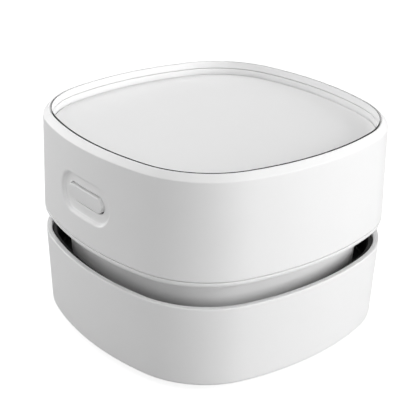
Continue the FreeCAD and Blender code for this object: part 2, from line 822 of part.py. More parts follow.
def upper_housing():
    """White moulded shell: a bevelled rim, a recess for the panel, and four posts."""
    cutter = dish_cutter()
    body = new_body("upper_housing", "parting_level")
    wall = outline(body, "base", "0", "0")
    pad(body, "wall", wall, "housing_height", "-atan(housing_slope)")
    fillet(body, "parting_edge", "parting_round", level_edges, "0")
    chamfer(body, "rim_bevel_cut", "rim_bevel", level_edges, "housing_height")
    fillet(body, "rim_round_off", "rim_round", bevel_foot, "housing_height-rim_bevel")
    recess = outline(body, "recess", "housing_height", "recess_inset")
    pocket(body, "recess_cut", recess, "recess_slope_depth", "-atan(recess_slope/recess_slope_depth)")
    fillet(body, "mouth_round", "rim_inner_round", level_edges, "housing_height", False)
    seat = outline(body, "seat", "housing_height-recess_slope_depth", "seat_inset")
    pocket(body, "seat_cut", seat, "recess_depth-recess_slope_depth+panel_thickness")
    cavity = outline(body, "cavity", "0", "housing_wall")
    height = "housing_height-recess_depth-panel_thickness-roof_thickness"
    pocket(body, "cavity_cut", cavity, height, "-atan(housing_slope)", upwards=True)

    post = new_sketch(body, "post", "XY_Plane", "deck_top-(parting_level)")
    circle(post, "post_radius", "post_place", "post_place")
    tip = new_sketch(body, "post_tip", "XY_Plane", "fan_level-(parting_level)")
    circle(tip, "post_tip_radius", "post_place", "post_place")
    shank = pad(body, "first_post", post, "roof_level-(deck_top)+roof_thickness/2")
    end = pad(body, "first_tip", tip, "fan_height+deck_thickness")
    around(body, "posts", [shank, end], "4")
    pilot = new_sketch(body, "pilot", "XY_Plane", "fan_level-(parting_level)")
    circle(pilot, "pilot_radius", "post_place", "post_place")
    bore = pocket(body, "first_pilot", pilot, "screw_length", upwards=True)
    around(body, "pilots", [bore], "4")

    port = new_sketch(body, "port", "XZ_Plane", "-half_width", y="socket_middle-(parting_level)")
    stadium(port, "socket_length+2*socket_gap", "socket_height+2*socket_gap")
    pocket(body, "port_cut", port, "2*housing_wall", upwards=True)
    key = new_sketch(body, "key", "XZ_Plane", "half_width", y="button_rise")
    stadium(key, "button_length+2*button_gap", "button_width+2*button_gap")
    pocket(body, "key_cut", key, "2*housing_wall")
    dish = body.newObject("PartDesign::Boolean", "dish")
    dish.Type = "Cut"
    dish.setObjects([cutter])
    body.Tip = dish
    fillet(body, "dish_lip", "dish_lip_round", dish_edges, "0")
    fillet(body, "dish_foot", "dish_foot_round", dish_edges, "dish_depth")
    return body


def top_panel():
    """Satin panel laid in the recess of the housing."""
    body = new_body("top_panel", "panel_level")
    pad(body, "plate", outline(body, "edge", "0", "seat_inset+panel_gap"), "panel_thickness")
    fillet(body, "edge_round", "panel_edge_round", level_edges, "panel_thickness")
    return body


def housing_screws():
    """Four screws that hold neck, cover and housing together."""
    body = new_body("housing_screws", "cover_level-neck_flange-screw_head")
    profile = new_sketch(body, "profile", "XZ_Plane", "-post_place", x="post_place")
    tip = "screw_head+screw_length"
    polygon(profile, [
        ("0", "0"),
        ("screw_head_radius-screw_head/3", "0"),
        ("screw_head_radius", "screw_head/3"),
        ("screw_head_radius", "screw_head"),
        ("pilot_radius", "screw_head"),
        ("pilot_radius", f"{tip}-pilot_radius"),
        ("0", tip),
    ])
    around(body, "screws", [revolve(body, "first_screw", profile)], "4")
    return body


# Upper unit: fan deck, motor, battery and boards.

def fan_deck():
    """Deck over the fan: it carries the motor, the battery and the boards."""
    body = new_body("fan_deck", "deck_level")
    pad(body, "plate", outline(body, "edge", "0", "deck_inset"), "deck_thickness")
    sleeve = new_sketch(body, "sleeve", "XY_Plane")
    circle(sleeve, "sleeve_radius", "post_place", "post_place")
    first = pad(body, "first_sleeve", sleeve, "fan_height", backwards=True)
    around(body, "sleeves", [first], "4")
    bore = new_sketch(body, "sleeve_bore", "XY_Plane", "deck_thickness")
    circle(bore, "sleeve_bore", "post_place", "post_place")
    first = pocket(body, "first_bore", bore, "deck_thickness+fan_height")
    around(body, "bores", [first], "4")

    collar = new_sketch(body, "motor_collar", "XY_Plane", "deck_thickness")
    circle(collar, "motor_radius+seat_gap+motor_collar_wall")
    circle(collar, "motor_radius+seat_gap")
    pad(body, "motor_ring", collar, "motor_collar_height")
    hole = new_sketch(body, "boss_hole", "XY_Plane", "deck_thickness")
    circle(hole, "boss_radius+seat_gap")
    circle(hole, "motor_screw_radius+seat_gap", "motor_screw_place")
    circle(hole, "motor_screw_radius+seat_gap", "-motor_screw_place")
    pocket(body, "motor_holes", hole, "deck_thickness")

    standoff = new_sketch(body, "standoff", "XY_Plane", "deck_thickness")
    for side in ("-", ""):
        circle(standoff, "standoff_radius", f"{side}board_screw_place",
               "board_edge-board_width+board_screw_margin")
    pad(body, "standoffs", standoff, "board_standoff")
    pilot = new_sketch(body, "standoff_pilot", "XY_Plane", "deck_thickness+board_standoff")
    for side in ("-", ""):
        circle(pilot, "board_screw_radius", f"{side}board_screw_place",
               "board_edge-board_width+board_screw_margin")
    pocket(body, "standoff_pilots", pilot, "board_standoff+deck_thickness/2")

    guide = new_sketch(body, "board_guide", "XY_Plane", "deck_thickness")
    back = "switch_front-switch_depth"
    edge = "button_board_length/2+seat_gap"
    outer = f"{edge}+guide_wall"
    grip = "button_board_length/2-guide_grip"
    front_y = f"-({back}+seat_gap)"
    back_y = f"-({back}-button_board_thickness-seat_gap)"
    for side in ("-", ""):
        polygon(guide, [
            (f"{side}({grip})", f"{front_y}-guide_wall"),
            (f"{side}({outer})", f"{front_y}-guide_wall"),
            (f"{side}({outer})", f"{back_y}+guide_wall"),
            (f"{side}({grip})", f"{back_y}+guide_wall"),
            (f"{side}({grip})", back_y),
            (f"{side}({edge})", back_y),
            (f"{side}({edge})", front_y),
            (f"{side}({grip})", front_y),
        ])
    pad(body, "board_guides", guide, "guide_height")
    return body


def motor_can():
    """Steel can of the flat motor: a drawn cup with a bearing boss below."""
    body = new_body("motor_can", "deck_top")
    profile = new_sketch(body, "profile", "XZ_Plane")
    polygon(profile, [
        ("bush_radius", "-boss_height"),
        ("boss_radius", "-boss_height"),
        ("boss_radius", "0"),
        ("motor_radius", "0"),
        ("motor_radius", "can_height"),
        ("can_bore", "can_height"),
        ("can_bore", "can_wall"),
        ("bush_radius", "can_wall"),
    ])
    revolve(body, "cup", profile)
    hole = new_sketch(body, "screw_spot", "XY_Plane", "can_wall")
    circle(hole, "motor_screw_radius", "motor_screw_place")
    circle(hole, "motor_screw_radius", "-motor_screw_place")
    pocket(body, "screw_holes", hole, "can_wall")
    return body


def motor_end_cap():
    """Moulded cap that closes the can and holds the upper bush."""
    body = new_body("motor_end_cap", "end_cap_level")
    profile = new_sketch(body, "profile", "XZ_Plane")
    polygon(profile, [
        ("bush_radius", "-end_cap_height"),
        ("can_bore-seat_gap", "-end_cap_height"),
        ("can_bore-seat_gap", "0"),
        ("motor_radius", "0"),
        ("motor_radius", "end_cap_height"),
        ("bush_radius", "end_cap_height"),
    ])
    revolve(body, "cap", profile)
    return body


def motor_magnet():
    """Ring magnet inside the can."""
    body = new_body("motor_magnet", "magnet_level")
    ring = new_sketch(body, "ring", "XY_Plane")
    circle(ring, "can_bore")
    circle(ring, "can_bore-magnet_wall")
    pad(body, "magnet", ring, "magnet_height")
    return body


def motor_bushes():
    """Two sintered bushes: one in the can's boss, one in the end cap."""
    body = new_body("motor_bushes", "deck_top")
    bores = ("bush_radius", "shaft_radius+running_gap")
    low = new_sketch(body, "lower", "XY_Plane", "-boss_height")
    high = new_sketch(body, "upper", "XY_Plane", "can_height-end_cap_height")
    for ring in (low, high):
        for radius in bores:
            circle(ring, radius)
    pad(body, "lower_bush", low, "boss_height+can_wall")
    pad(body, "upper_bush", high, "2*end_cap_height")
    return body


def motor_screws():
    """Two screws up through the deck into the can."""
    body = new_body("motor_screws", "deck_level-motor_screw_head")
    profile = new_sketch(body, "profile", "XZ_Plane", x="motor_screw_place")
    polygon(profile, [
        ("0", "0"),
        ("motor_screw_head_radius", "0"),
        ("motor_screw_head_radius", "motor_screw_head"),
        ("motor_screw_radius", "motor_screw_head"),
        ("motor_screw_radius", "motor_screw_head+deck_thickness+can_wall"),
        ("0", "motor_screw_head+deck_thickness+can_wall"),
    ])
    around(body, "screws", [revolve(body, "first_screw", profile)], "2")
    return body


def battery_cell():
    """Lithium pouch cell beside the motor."""
    body = new_body("battery_cell", "deck_top+tape_thickness")
    base = new_sketch(body, "base", "XY_Plane")
    rectangle(base, "battery_near", "battery_near+battery_width", "-battery_length/2", "battery_length/2")
    pad(body, "pouch", base, "battery_height")
    fillet(body, "pouch_round", "battery_round", upright_edges)
    fillet(body, "top_round", "battery_round/2", level_edges, "battery_height")
    return body


def battery_tape():
    """Foam tape under the cell."""
    body = new_body("battery_tape", "deck_top")
    base = new_sketch(body, "base", "XY_Plane")
    edge = "battery_round"
    rectangle(base, f"battery_near+{edge}", f"battery_near+battery_width-{edge}",
              f"-battery_length/2+{edge}", f"battery_length/2-{edge}")
    pad(body, "pad", base, "tape_thickness")
    return body


def main_board():
    """Charging and motor control board on two standoffs."""
    body = new_body("main_board", "board_level")
    base = new_sketch(body, "base", "XY_Plane")
    rectangle(base, "-board_length/2", "board_length/2", "board_edge-board_width", "board_edge")
    for side in ("-", ""):
        circle(base, "board_screw_radius+seat_gap", f"{side}board_screw_place",
               "board_edge-board_width+board_screw_margin")
    pad(body, "board", base, "board_thickness")
    return body


def board_parts():
    """Charge chip, driver chip and coil on the main board."""
    body = new_body("board_parts", "socket_level")
    middle = "(board_edge-board_width+board_screw_margin)"
    chips = new_sketch(body, "chips", "XY_Plane")
    for left in ("-chip_side-chip_gap", "chip_gap"):
        rectangle(chips, left, f"{left}+chip_side", f"{middle}-chip_side/2", f"{middle}+chip_side/2")
    pad(body, "chip_blocks", chips, "chip_height")
    coil = new_sketch(body, "coil", "XY_Plane")
    far = "board_edge-coil_side-board_screw_margin"
    edge = "board_length/2-coil_margin"
    rectangle(coil, f"{edge}-coil_side", edge, far, f"{far}+coil_side")
    pad(body, "coil_block", coil, "coil_height")
    return body


def charging_socket():
    """USB-C receptacle: an open stadium shell with a tongue in it."""
    body = new_body("charging_socket", "socket_middle")
    face = new_sketch(body, "face", "XZ_Plane", "-(socket_face)")
    stadium(face, "socket_length", "socket_height")
    pad(body, "shell", face, "socket_depth")
    mouth = new_sketch(body, "mouth", "XZ_Plane", "-(socket_face)")
    stadium(mouth, "socket_length-2*socket_shell", "socket_height-2*socket_shell")
    pocket(body, "mouth_cut", mouth, "socket_depth-2*socket_shell", upwards=True)
    tongue = new_sketch(body, "tongue", "XZ_Plane", "-(socket_face-2*socket_shell)")
    half = "(socket_length/2-socket_height/2)"
    rectangle(tongue, f"-{half}", half, "-socket_tongue/2", "socket_tongue/2")
    pad(body, "tongue_block", tongue, "socket_depth-3*socket_shell")
    return body


def board_screws():
    """Two screws through the main board into its standoffs."""
    body = new_body("board_screws", "socket_level")
    spot = "board_edge-board_width+board_screw_margin"
    profile = new_sketch(body, "profile", "XZ_Plane", f"-({spot})", x="board_screw_place")
    length = "board_thickness+board_standoff"
    polygon(profile, [
        ("0", f"-({length})"),
        ("board_screw_radius", f"-({length})"),
        ("board_screw_radius", "0"),
        ("board_screw_head_radius", "0"),
        ("board_screw_head_radius", "board_screw_head"),
        ("0", "board_screw_head"),
    ])
    first = revolve(body, "first_screw", profile)
    mirror = body.newObject("PartDesign::Mirrored", "screws")
    mirror.Originals = [first]
    mirror.MirrorPlane = (origin(body, "YZ_Plane"), [""])
    body.Tip = mirror
    return body


def button_board():
    """Small upright board behind the switch, held at its ends by the deck's guides."""
    body = new_body("button_board", "deck_top")
    face = new_sketch(body, "face", "XZ_Plane", "switch_front-switch_depth")
    rectangle(face, "-button_board_length/2", "button_board_length/2", "0", "button_board_height")
    pad(body, "board", face, "button_board_thickness", backwards=True)
    return body


def push_switch():
    """Body of the push switch, with a bore for its plunger."""
    body = new_body("push_switch", "button_level")
    face = new_sketch(body, "face", "XZ_Plane", "switch_front")
    rectangle(face, "-switch_length/2", "switch_length/2", "-switch_width/2", "switch_width/2")
    pad(body, "case", face, "switch_depth", backwards=True)
    bore = new_sketch(body, "bore", "XZ_Plane", "switch_front")
    circle(bore, "plunger_radius+running_gap")
    pocket(body, "bore_cut", bore, "plunger_root+button_travel+seat_gap")
    return body


# Moving pieces.

def power_button():
    """Pill-shaped key: two ears behind the wall keep it in, and a stem works the switch."""
    body = new_body("power_button", "button_level")
    face_y = "button_wall-dish_depth+button_proud"
    face = new_sketch(body, "face", "XZ_Plane", face_y)
    stadium(face, "button_length", "button_width")
    pad(body, "key", face, f"{face_y}-(flange_front)+button_flange", backwards=True)
    fillet(body, "face_round", "button_face_round", front_edges, face_y)
    ears = new_sketch(body, "ears", "XZ_Plane", "flange_front")
    stadium(ears, "2*ear_reach", "button_width")
    pad(body, "flange", ears, "button_flange", backwards=True)
    stem = new_sketch(body, "stem", "XZ_Plane", "flange_front-button_flange")
    circle(stem, "stem_radius")
    pad(body, "stem_post", stem, "stem_length", backwards=True)
    return body


def switch_plunger():
    """Plunger of the push switch, which the stem of the key pushes."""
    body = new_body("switch_plunger", "button_level")
    end = new_sketch(body, "end", "XZ_Plane", "stem_end")
    circle(end, "plunger_radius")
    pad(body, "rod", end, "plunger_reach+plunger_root", backwards=True)
    return body


def impeller():
    """Centrifugal wheel: a hub, a back plate above, and bowed blades that hang below it.

    A blade is the sliver between two arcs of equal radius that start at its root and end at
    the rim, swept back by blade_sweep.
    """
    body = new_body("impeller", "impeller_level")
    disc = new_sketch(body, "disc", "XY_Plane", "impeller_height-impeller_plate")
    circle(disc, "impeller_radius")
    circle(disc, "shaft_radius")
    pad(body, "back_plate", disc, "impeller_plate")
    hub = new_sketch(body, "hub", "XY_Plane")
    circle(hub, "hub_radius")
    circle(hub, "shaft_radius")
    pad(body, "hub_tube", hub, "impeller_height")
    blade = new_sketch(body, "blade", "XY_Plane")
    blade_section(blade)
    first = pad(body, "first_blade", blade, "impeller_height-impeller_plate/2")
    around(body, "blades", [first], "blade_count")
    return body


def blade_section(made):
    """Two bowed sides and two short ends, with each corner held in place."""
    tip = "(impeller_radius-blade_thickness)"
    across = [
        ("blade_root_radius", "-blade_thickness/2"),
        (f"{tip}*cos(blade_sweep)+blade_thickness/2*sin(blade_sweep)",
         f"{tip}*sin(blade_sweep)-blade_thickness/2*cos(blade_sweep)"),
        (f"{tip}*cos(blade_sweep)-blade_thickness/2*sin(blade_sweep)",
         f"{tip}*sin(blade_sweep)+blade_thickness/2*cos(blade_sweep)"),
        ("blade_root_radius", "blade_thickness/2"),
    ]
    corner = [FreeCAD.Vector(number(x), number(y), 0) for x, y in across]
    bow = number("blade_bow")
    made.addGeometry([
        bowed(corner[0], corner[1], bow),
        Part.LineSegment(corner[1], corner[2]),
        bowed(corner[3], corner[2], bow),
        Part.LineSegment(corner[3], corner[0]),
    ], False)
    joints = ((0, 2, 1, 1), (1, 2, 2, 2), (2, 1, 3, 1), (3, 2, 0, 1))
    for ends in joints:
        made.addConstraint(Sketcher.Constraint("Coincident", *ends))
    for element, end, place in ((0, 1, 0), (1, 1, 1), (1, 2, 2), (3, 1, 3)):
        pin(made, element, end, *across[place])
    measure(made, "Radius", "blade_bow", 0)
    measure(made, "Radius", "blade_bow", 2)


def bowed(start, end, radius):
    """The arc of a given radius from start to end that bulges to the right of that way."""
    chord = end.sub(start)
    half = chord.Length / 2
    way = FreeCAD.Vector(chord.x, chord.y, 0).normalize()
    left = FreeCAD.Vector(-way.y, way.x, 0)
    centre = start.add(chord.multiply(0.5)).add(left.multiply(math.sqrt(radius ** 2 - half ** 2)))
    first = math.atan2(start.y - centre.y, start.x - centre.x)
    last = math.atan2(end.y - centre.y, end.x - centre.x)
    if last < first:
        last += 2 * math.pi
    return Part.ArcOfCircle(Part.Circle(centre, FreeCAD.Vector(0, 0, 1), radius), first, last)


def motor_shaft():
    """Steel shaft from the impeller's hub up to the end cap."""
    body = new_body("motor_shaft", "impeller_level")
    end = new_sketch(body, "end", "XY_Plane")
    circle(end, "shaft_radius")
    pad(body, "rod", end, "end_cap_level+end_cap_height-(impeller_level)-seat_gap")
    return body


def motor_armature():
    """Three-pole armature on the shaft."""
    body = new_body("motor_armature", "armature_level")
    core = new_sketch(body, "core", "XY_Plane")
    circle(core, "armature_core")
    circle(core, "shaft_radius")
    pad(body, "core_block", core, "armature_height")
    shoe = new_sketch(body, "rim", "XY_Plane")
    circle(shoe, "armature_radius")
    circle(shoe, "armature_radius-armature_shoe")
    pad(body, "rim_ring", shoe, "armature_height")
    arm = new_sketch(body, "arm", "XY_Plane")
    rectangle(arm, "(armature_core+shaft_radius)/2", "armature_radius-armature_shoe/2",
              "-armature_arm/2", "armature_arm/2")
    first = pad(body, "first_arm", arm, "armature_height")
    gap = new_sketch(body, "gap", "XY_Plane", "armature_height", turn="60")
    rectangle(gap, "armature_radius-2*armature_shoe", "armature_radius+armature_shoe",
              "-armature_gap", "armature_gap")
    cut = pocket(body, "first_gap", gap, "armature_height")
    around(body, "poles", [first, cut], "3")
    return body


PIECES = (
    lower_shell, inlet_duct, brush_ring, bristle_tufts, glide_feet,
    filter_tray, filter_frame, filter_media, neck_gasket,
    neck_ring, bottom_cover, upper_housing, top_panel, housing_screws,
    fan_deck, motor_can, motor_end_cap, motor_magnet, motor_bushes, motor_screws,
    battery_cell, battery_tape, main_board, board_parts, charging_socket, board_screws,
    button_board, push_switch, power_button, switch_plunger,
    impeller, motor_shaft, motor_armature,
)
bodies = [make() for make in PIECES]
doc.recompute()

for item in doc.Objects:
    if "Invalid" in item.State or "Error" in item.State:
        raise RuntimeError(f"{item.Label} failed: {item.State}")
for body in bodies:
    if body.Shape.isNull() or not body.Shape.isValid():
        raise RuntimeError(f"{body.Label} has no sound shape")

os.makedirs("parts", exist_ok=True)
for body in bodies:
    body.Shape.exportStep(os.path.join("parts", body.Label + ".step"))
    print(f"{body.Label:18s} {len(body.Shape.Solids):3d} solids {body.Shape.Volume:10.1f} mm3")
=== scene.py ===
import json
import math

import bmesh
import bpy
import numpy as np
from bpy.props import FloatProperty, FloatVectorProperty, IntProperty, PointerProperty
from bpy.types import NodeSocket, Operator, Panel, PropertyGroup
from mathutils import Matrix, Vector


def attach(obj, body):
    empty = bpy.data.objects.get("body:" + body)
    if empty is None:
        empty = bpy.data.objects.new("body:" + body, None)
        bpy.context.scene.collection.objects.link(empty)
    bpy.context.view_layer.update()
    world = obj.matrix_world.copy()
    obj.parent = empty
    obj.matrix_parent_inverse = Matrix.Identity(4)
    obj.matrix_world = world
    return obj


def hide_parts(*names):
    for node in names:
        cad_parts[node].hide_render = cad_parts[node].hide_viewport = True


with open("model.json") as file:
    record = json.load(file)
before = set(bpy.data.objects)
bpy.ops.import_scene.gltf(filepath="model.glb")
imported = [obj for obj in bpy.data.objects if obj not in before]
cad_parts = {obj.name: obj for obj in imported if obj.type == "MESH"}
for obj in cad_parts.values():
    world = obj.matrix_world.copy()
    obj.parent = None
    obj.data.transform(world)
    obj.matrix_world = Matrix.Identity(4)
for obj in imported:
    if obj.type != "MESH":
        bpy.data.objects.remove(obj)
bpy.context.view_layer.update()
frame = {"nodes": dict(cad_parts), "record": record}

bl_info = {
    "name": "Desktop Vacuum Cleaner",
    "version": (1, 0, 0),
    "blender": (4, 5, 0),
    "location": "3D View > Sidebar > Desk Vacuum",
    "description": "Builds the dressed pieces of a desktop vacuum cleaner round its CAD frame",
    "category": "Object",
}

MM = 0.001
TURN = 2 * math.pi
MERGE = 2e-7            # points nearer than this are one point
ARC_STEPS = 6           # facets in a rounded edge of a profile
SUPPORT = 0.35 * MM     # a row of points this far from each rounded edge keeps flat walls flat
STRAIGHT = 1e-6         # sine of a bend that is too slight to be rounded
SHARP_ANGLE = math.radians(40)
SLOPE_LOW, SLOPE_HIGH = 0.3, 0.7    # most of a noise's values lie between these
CLOUD = 18 * MM         # size of the clouds in a finish's colour
WHITE = (1, 1, 1, 1)
AIM = Vector((0, 0, 0.05))      # what the lamps face


def srgb(code):
    """A hex colour such as "F4F4F2" as linear red, green, blue."""
    parts = [int(code[place:place + 2], 16) / 255 for place in (0, 2, 4)]
    return tuple(part / 12.92 if part <= 0.04045 else ((part + 0.055) / 1.055) ** 2.4
                 for part in parts)


def amount(name, value, description, **more):
    return FloatProperty(name=name, description=description, default=value, min=0, **more)


def length(name, millimetres, description):
    return amount(name, millimetres * MM, description, unit="LENGTH", precision=5)


def power(name, watts, description):
    return amount(name, watts, description, subtype="POWER")


def colour(name, code, description):
    return FloatVectorProperty(name=name, description=description, default=srgb(code),
                               size=3, min=0, max=1, subtype="COLOR")


# What a user would change.

class CasingSizes(PropertyGroup):
    """Sizes of the moulded casing, which are those of the CAD frame."""
    half_width: length("Half width", 43.0, "From the middle to the middle of a side")
    side_radius: length("Side radius", 82.55, "Radius of the shallow side arcs")
    corner_radius: length("Corner radius", 26.44, "Radius of the corner arcs")
    cup_level: length("Cup level", 1.5, "Height of the cup's underside")
    cup_rim: length("Cup rim", 24.3, "Height of the cup's rim")
    cup_rim_inset: length("Cup rim inset", 0.14, "How far the rim stands in from the outline")
    cup_base_inset: length("Cup base inset", 0.9, "How far the base stands in")
    cup_wall: length("Cup wall", 1.5, "Wall thickness of the cup")
    cup_floor: length("Cup floor", 1.8, "Floor thickness of the cup")
    cover_level: length("Cover level", 30.04, "Height of the bottom cover's underside")
    parting: length("Parting line", 31.76, "Height of the parting line above the band")
    rim: length("Rim", 59.0, "Height of the housing's rim")
    rim_inset: length("Rim inset", 0.8, "How far the rim stands in from the outline")
    rim_width: length("Rim width", 2.38, "Width of the rim round the recess")
    bevel: length("Rim bevel", 1.5, "Width and height of the bevel outside the rim")
    groove_in: length("Groove inset", 2.6, "How far the groove in the rim stands in")
    # The seal in the groove is black. Its face is partly a seal and partly painted shade, the dark
    # line along the rim's inner edge.
    seal_in: length("Seal inset", 3.0, "How far the thin seal in the groove stands in")
    seal_width: length("Seal width", 0.1, "Width of the thin seal in the groove")
    wall: length("Housing wall", 1.9, "Wall thickness of the housing")
    edge: length("Edge round", 0.2, "Rounding of the moulded edges at the parting line")
    gap: length("Parting gap", 0.2, "Height of the gap that shows as the parting line")


class ButtonSizes(PropertyGroup):
    """Sizes of the button and of its dish."""
    level: length("Level", 44.0, "Height of the button's middle")
    dish_length: length("Dish length", 21.0, "Length of the dish")
    dish_width: length("Dish width", 10.1, "Width of the dish")
    dish_depth: length("Dish depth", 1.0, "Depth of the dish")
    lip: length("Dish lip", 0.8, "Radius of the dish's lip")
    foot: length("Dish foot", 0.5, "Radius at the foot of the dish's wall")
    key_length: length("Key length", 15.1, "Length of the key")
    key_width: length("Key width", 4.1, "Width of the key")
    key_gap: length("Key gap", 0.4, "Gap round the key")
    key_face: length("Key face", 41.99, "How far the key's face stands in front of the middle")
    key_round: length("Key round", 0.25, "Rounding of the key's face")


class Colours(PropertyGroup):
    """Colours of the finishes."""
    shell: colour("Shell", "F4F4F4", "White moulded casing")
    button: colour("Button", "F1F1F1", "White key")
    panel: colour("Panel", "EAEAEA", "Satin top panel")
    neck: colour("Neck", "F4F4F4", "Silver-white neck")
    black: colour("Black parts", "0B0B0C", "Black moulded parts")


class Studio(PropertyGroup):
    """Lamps, floor and camera."""
    focal: FloatProperty(name="Focal length", description="Focal length on a 36 mm sensor",
                         default=86.55, min=1)
    roll: FloatProperty(name="Camera roll", description="Turn of the camera about its axis",
                        default=0.022, subtype="ANGLE")
    key_power: power("Key lamp", 8.0, "Power of the lamp on the right")
    low_power: power("Low lamp", 2.75, "Power of the wide low lamp in front")
    left_power: power("Left lamp", 2.3, "Power of the low lamp on the left")
    near_power: power("Near lamp", 0.38, "Power of the near lamp above the left")
    high_power: power("High lamp", 0.9, "Power of the high lamp on the right")
    back_power: power("Back lamp", 0.62, "Power of the near lamp above the back")
    horizon: amount("Horizon", 0.22, "Strength of the world's light near the horizon")
    zenith: amount("Zenith", 0.2, "Strength of the world's light overhead")
    floor_lift: amount("Floor lift", 0.8, "How much brighter than lit the camera sees the floor")


# Materials.

def node(tree, kind, inputs=None, stops=(), **settings):
    """Add a shader node.

    inputs: a value for each socket, or an output to link to it; stops: the places and colours
    of a colour ramp.
    """
    made = tree.nodes.new("ShaderNode" + kind)
    for spot, (place, tint) in enumerate(stops):
        made.color_ramp.elements[spot].position = place
        made.color_ramp.elements[spot].color = (*tint, 1)
    for name, value in settings.items():
        setattr(made, name, value)
    for socket, value in (inputs or {}).items():
        if isinstance(value, NodeSocket):
            tree.links.new(value, made.inputs[socket])
        else:
            made.inputs[socket].default_value = value
    return made


def blank(name):
    """A new material's node tree with nothing in it, and the material."""
    material = bpy.data.materials.new(name)
    material.use_nodes = True
    material.node_tree.nodes.clear()
    return material, material.node_tree


def shade(tint, factor):
    """A linear colour made darker or lighter by a factor."""
    return tuple(min(part * factor, 1) for part in tint)


def surfaced(name, tint, roughness, grain, depth, drift=0.03, spread=0.05, **shader):
    """A plain material with fine grain.

    tint: its colour; drift: how much the colour wanders over a few centimetres; roughness and
    spread: its gloss and how much that wanders; grain and depth: the size of the surface's
    texture in millimetres and its height.
    """
    material, tree = blank(name)
    spot = node(tree, "TexCoord").outputs["Object"]
    cloud = node(tree, "TexNoise", {"Vector": spot, "Scale": 1 / CLOUD, "Detail": 3.0,
                                    "Roughness": 0.6})
    fine = node(tree, "TexNoise", {"Vector": spot, "Scale": 1 / (grain * MM), "Detail": 2.0,
                                   "Roughness": 0.55})
    skin_tint = node(tree, "ValToRGB", {"Fac": cloud.outputs["Fac"]},
                     stops=((SLOPE_LOW, shade(tint, 1 - drift)), (SLOPE_HIGH, tint)))
    gloss = node(tree, "MapRange", {
        "Value": fine.outputs["Fac"], "From Min": SLOPE_LOW, "From Max": SLOPE_HIGH,
        "To Min": max(roughness - spread, 0.02), "To Max": roughness + spread})
    bump = node(tree, "Bump", {"Height": fine.outputs["Fac"], "Distance": depth * MM,
                               "Strength": 1.0})
    skin = node(tree, "BsdfPrincipled", {
        "Base Color": skin_tint.outputs["Color"], "Roughness": gloss.outputs["Result"],
        "Normal": bump.outputs["Normal"], **shader})
    node(tree, "OutputMaterial", {"Surface": skin.outputs["BSDF"]})
    return material


FINISHES = {}


def finish(name):
    """The material of a finish, made the first time it is asked for."""
    if name not in FINISHES:
        FINISHES[name] = MAKERS[name](bpy.context.scene.desk_vacuum_colours)
    return FINISHES[name]


def spark_eroded_abs(colours):
    # ABS moulded in a spark-eroded tool: even, soft sheen without sharp reflections. The real
    # grain is about 0.05 mm; it is drawn at 0.4 mm, the finest that shows.
    return surfaced("spark_eroded_white_abs", tuple(colours.shell), 0.42, 0.4, 0.004,
                    drift=0.012, spread=0.04, IOR=1.53)


def smooth_abs(colours):
    # ABS moulded in a stoned tool: the key is a little glossier than the casing round it.
    return surfaced("stoned_white_abs", tuple(colours.button), 0.34, 0.5, 0.003,
                    drift=0.012, spread=0.03, IOR=1.53)


def satin_panel(colours):
    # Light grey polycarbonate with a satin hard coat: a smooth wide highlight, no grain to see.
    return surfaced("satin_coated_polycarbonate", tuple(colours.panel), 0.6, 0.6, 0.0015,
                    drift=0.01, spread=0.02, **{"Specular IOR Level": 0.2})


def silver_abs(colours):
    # ABS coloured with fine aluminium flake: silver-white with an even sheen.
    return surfaced("flake_silver_abs", tuple(colours.neck), 0.38, 0.35, 0.003,
                    drift=0.03, spread=0.05, IOR=1.53)


def black_abs(colours):
    # Black ABS: nearly no colour of its own, and a weak soft sheen, so the gap stays dark.
    return surfaced("moulded_black_abs", tuple(colours.black), 0.45, 0.5, 0.003,
                    drift=0.1, spread=0.05, **{"Specular IOR Level": 0.15})


def soft_seal(colours):
    # Thermoplastic elastomer: matt black with a dusty bloom.
    return surfaced("matt_black_elastomer", srgb("1A1A1A"), 0.75, 0.5, 0.008, drift=0.15,
                    IOR=1.5)


def silicone(colours):
    # Silicone pads: dark grey, silky, slightly lighter where they rub.
    return surfaced("grey_silicone", srgb("4A4B4D"), 0.6, 0.6, 0.006, drift=0.12, IOR=1.41)


def nylon_filament(colours):
    # Extruded nylon: thin smooth rods with a narrow highlight.
    return surfaced("black_nylon_filament", srgb("26262A"), 0.35, 0.8, 0.001, drift=0.2,
                    IOR=1.53)


def filter_felt(colours):
    # Non-woven polyester felt: fibres crossing every way, drawn as stretched noise at 0.3 mm.
    material, tree = blank("non_woven_filter_felt")
    spot = node(tree, "TexCoord").outputs["Object"]
    thick, long = 0.3 * MM, 2.5 * MM
    fibres = []
    for turn in (0.4, 1.9):
        laid = node(tree, "Mapping", {"Vector": spot, "Rotation": (0, 0, turn),
                                      "Scale": (1 / thick, 1 / long, 1 / thick)})
        fibres.append(node(tree, "TexNoise", {"Vector": laid.outputs["Vector"], "Scale": 1.0,
                                              "Detail": 2.0}))
    felt = node(tree, "Math", {0: fibres[0].outputs["Fac"], 1: fibres[1].outputs["Fac"]},
                operation="MAXIMUM")
    wool = node(tree, "ValToRGB", {"Fac": felt.outputs["Value"]},
                stops=((SLOPE_LOW, srgb("D9D7CF")), (SLOPE_HIGH, srgb("F3F2EC"))))
    bump = node(tree, "Bump", {"Height": felt.outputs["Value"], "Distance": 0.05 * MM})
    skin = node(tree, "BsdfPrincipled", {
        "Base Color": wool.outputs["Color"], "Roughness": 0.9, "Sheen Weight": 0.3,
        "Normal": bump.outputs["Normal"]})
    node(tree, "OutputMaterial", {"Surface": skin.outputs["BSDF"]})
    return material


def zinc_plate(colours):
    # Zinc plated steel: bright, cool grey, a little cloudy.
    return surfaced("zinc_plated_steel", srgb("B9BABD"), 0.34, 0.7, 0.002, drift=0.12,
                    spread=0.08, Metallic=1.0)


def drawn_steel(colours):
    # Drawn, nickel plated steel: brighter and smoother than zinc.
    return surfaced("nickel_plated_steel", srgb("C9C8C5"), 0.26, 0.8, 0.002, drift=0.08,
                    spread=0.05, Metallic=1.0)


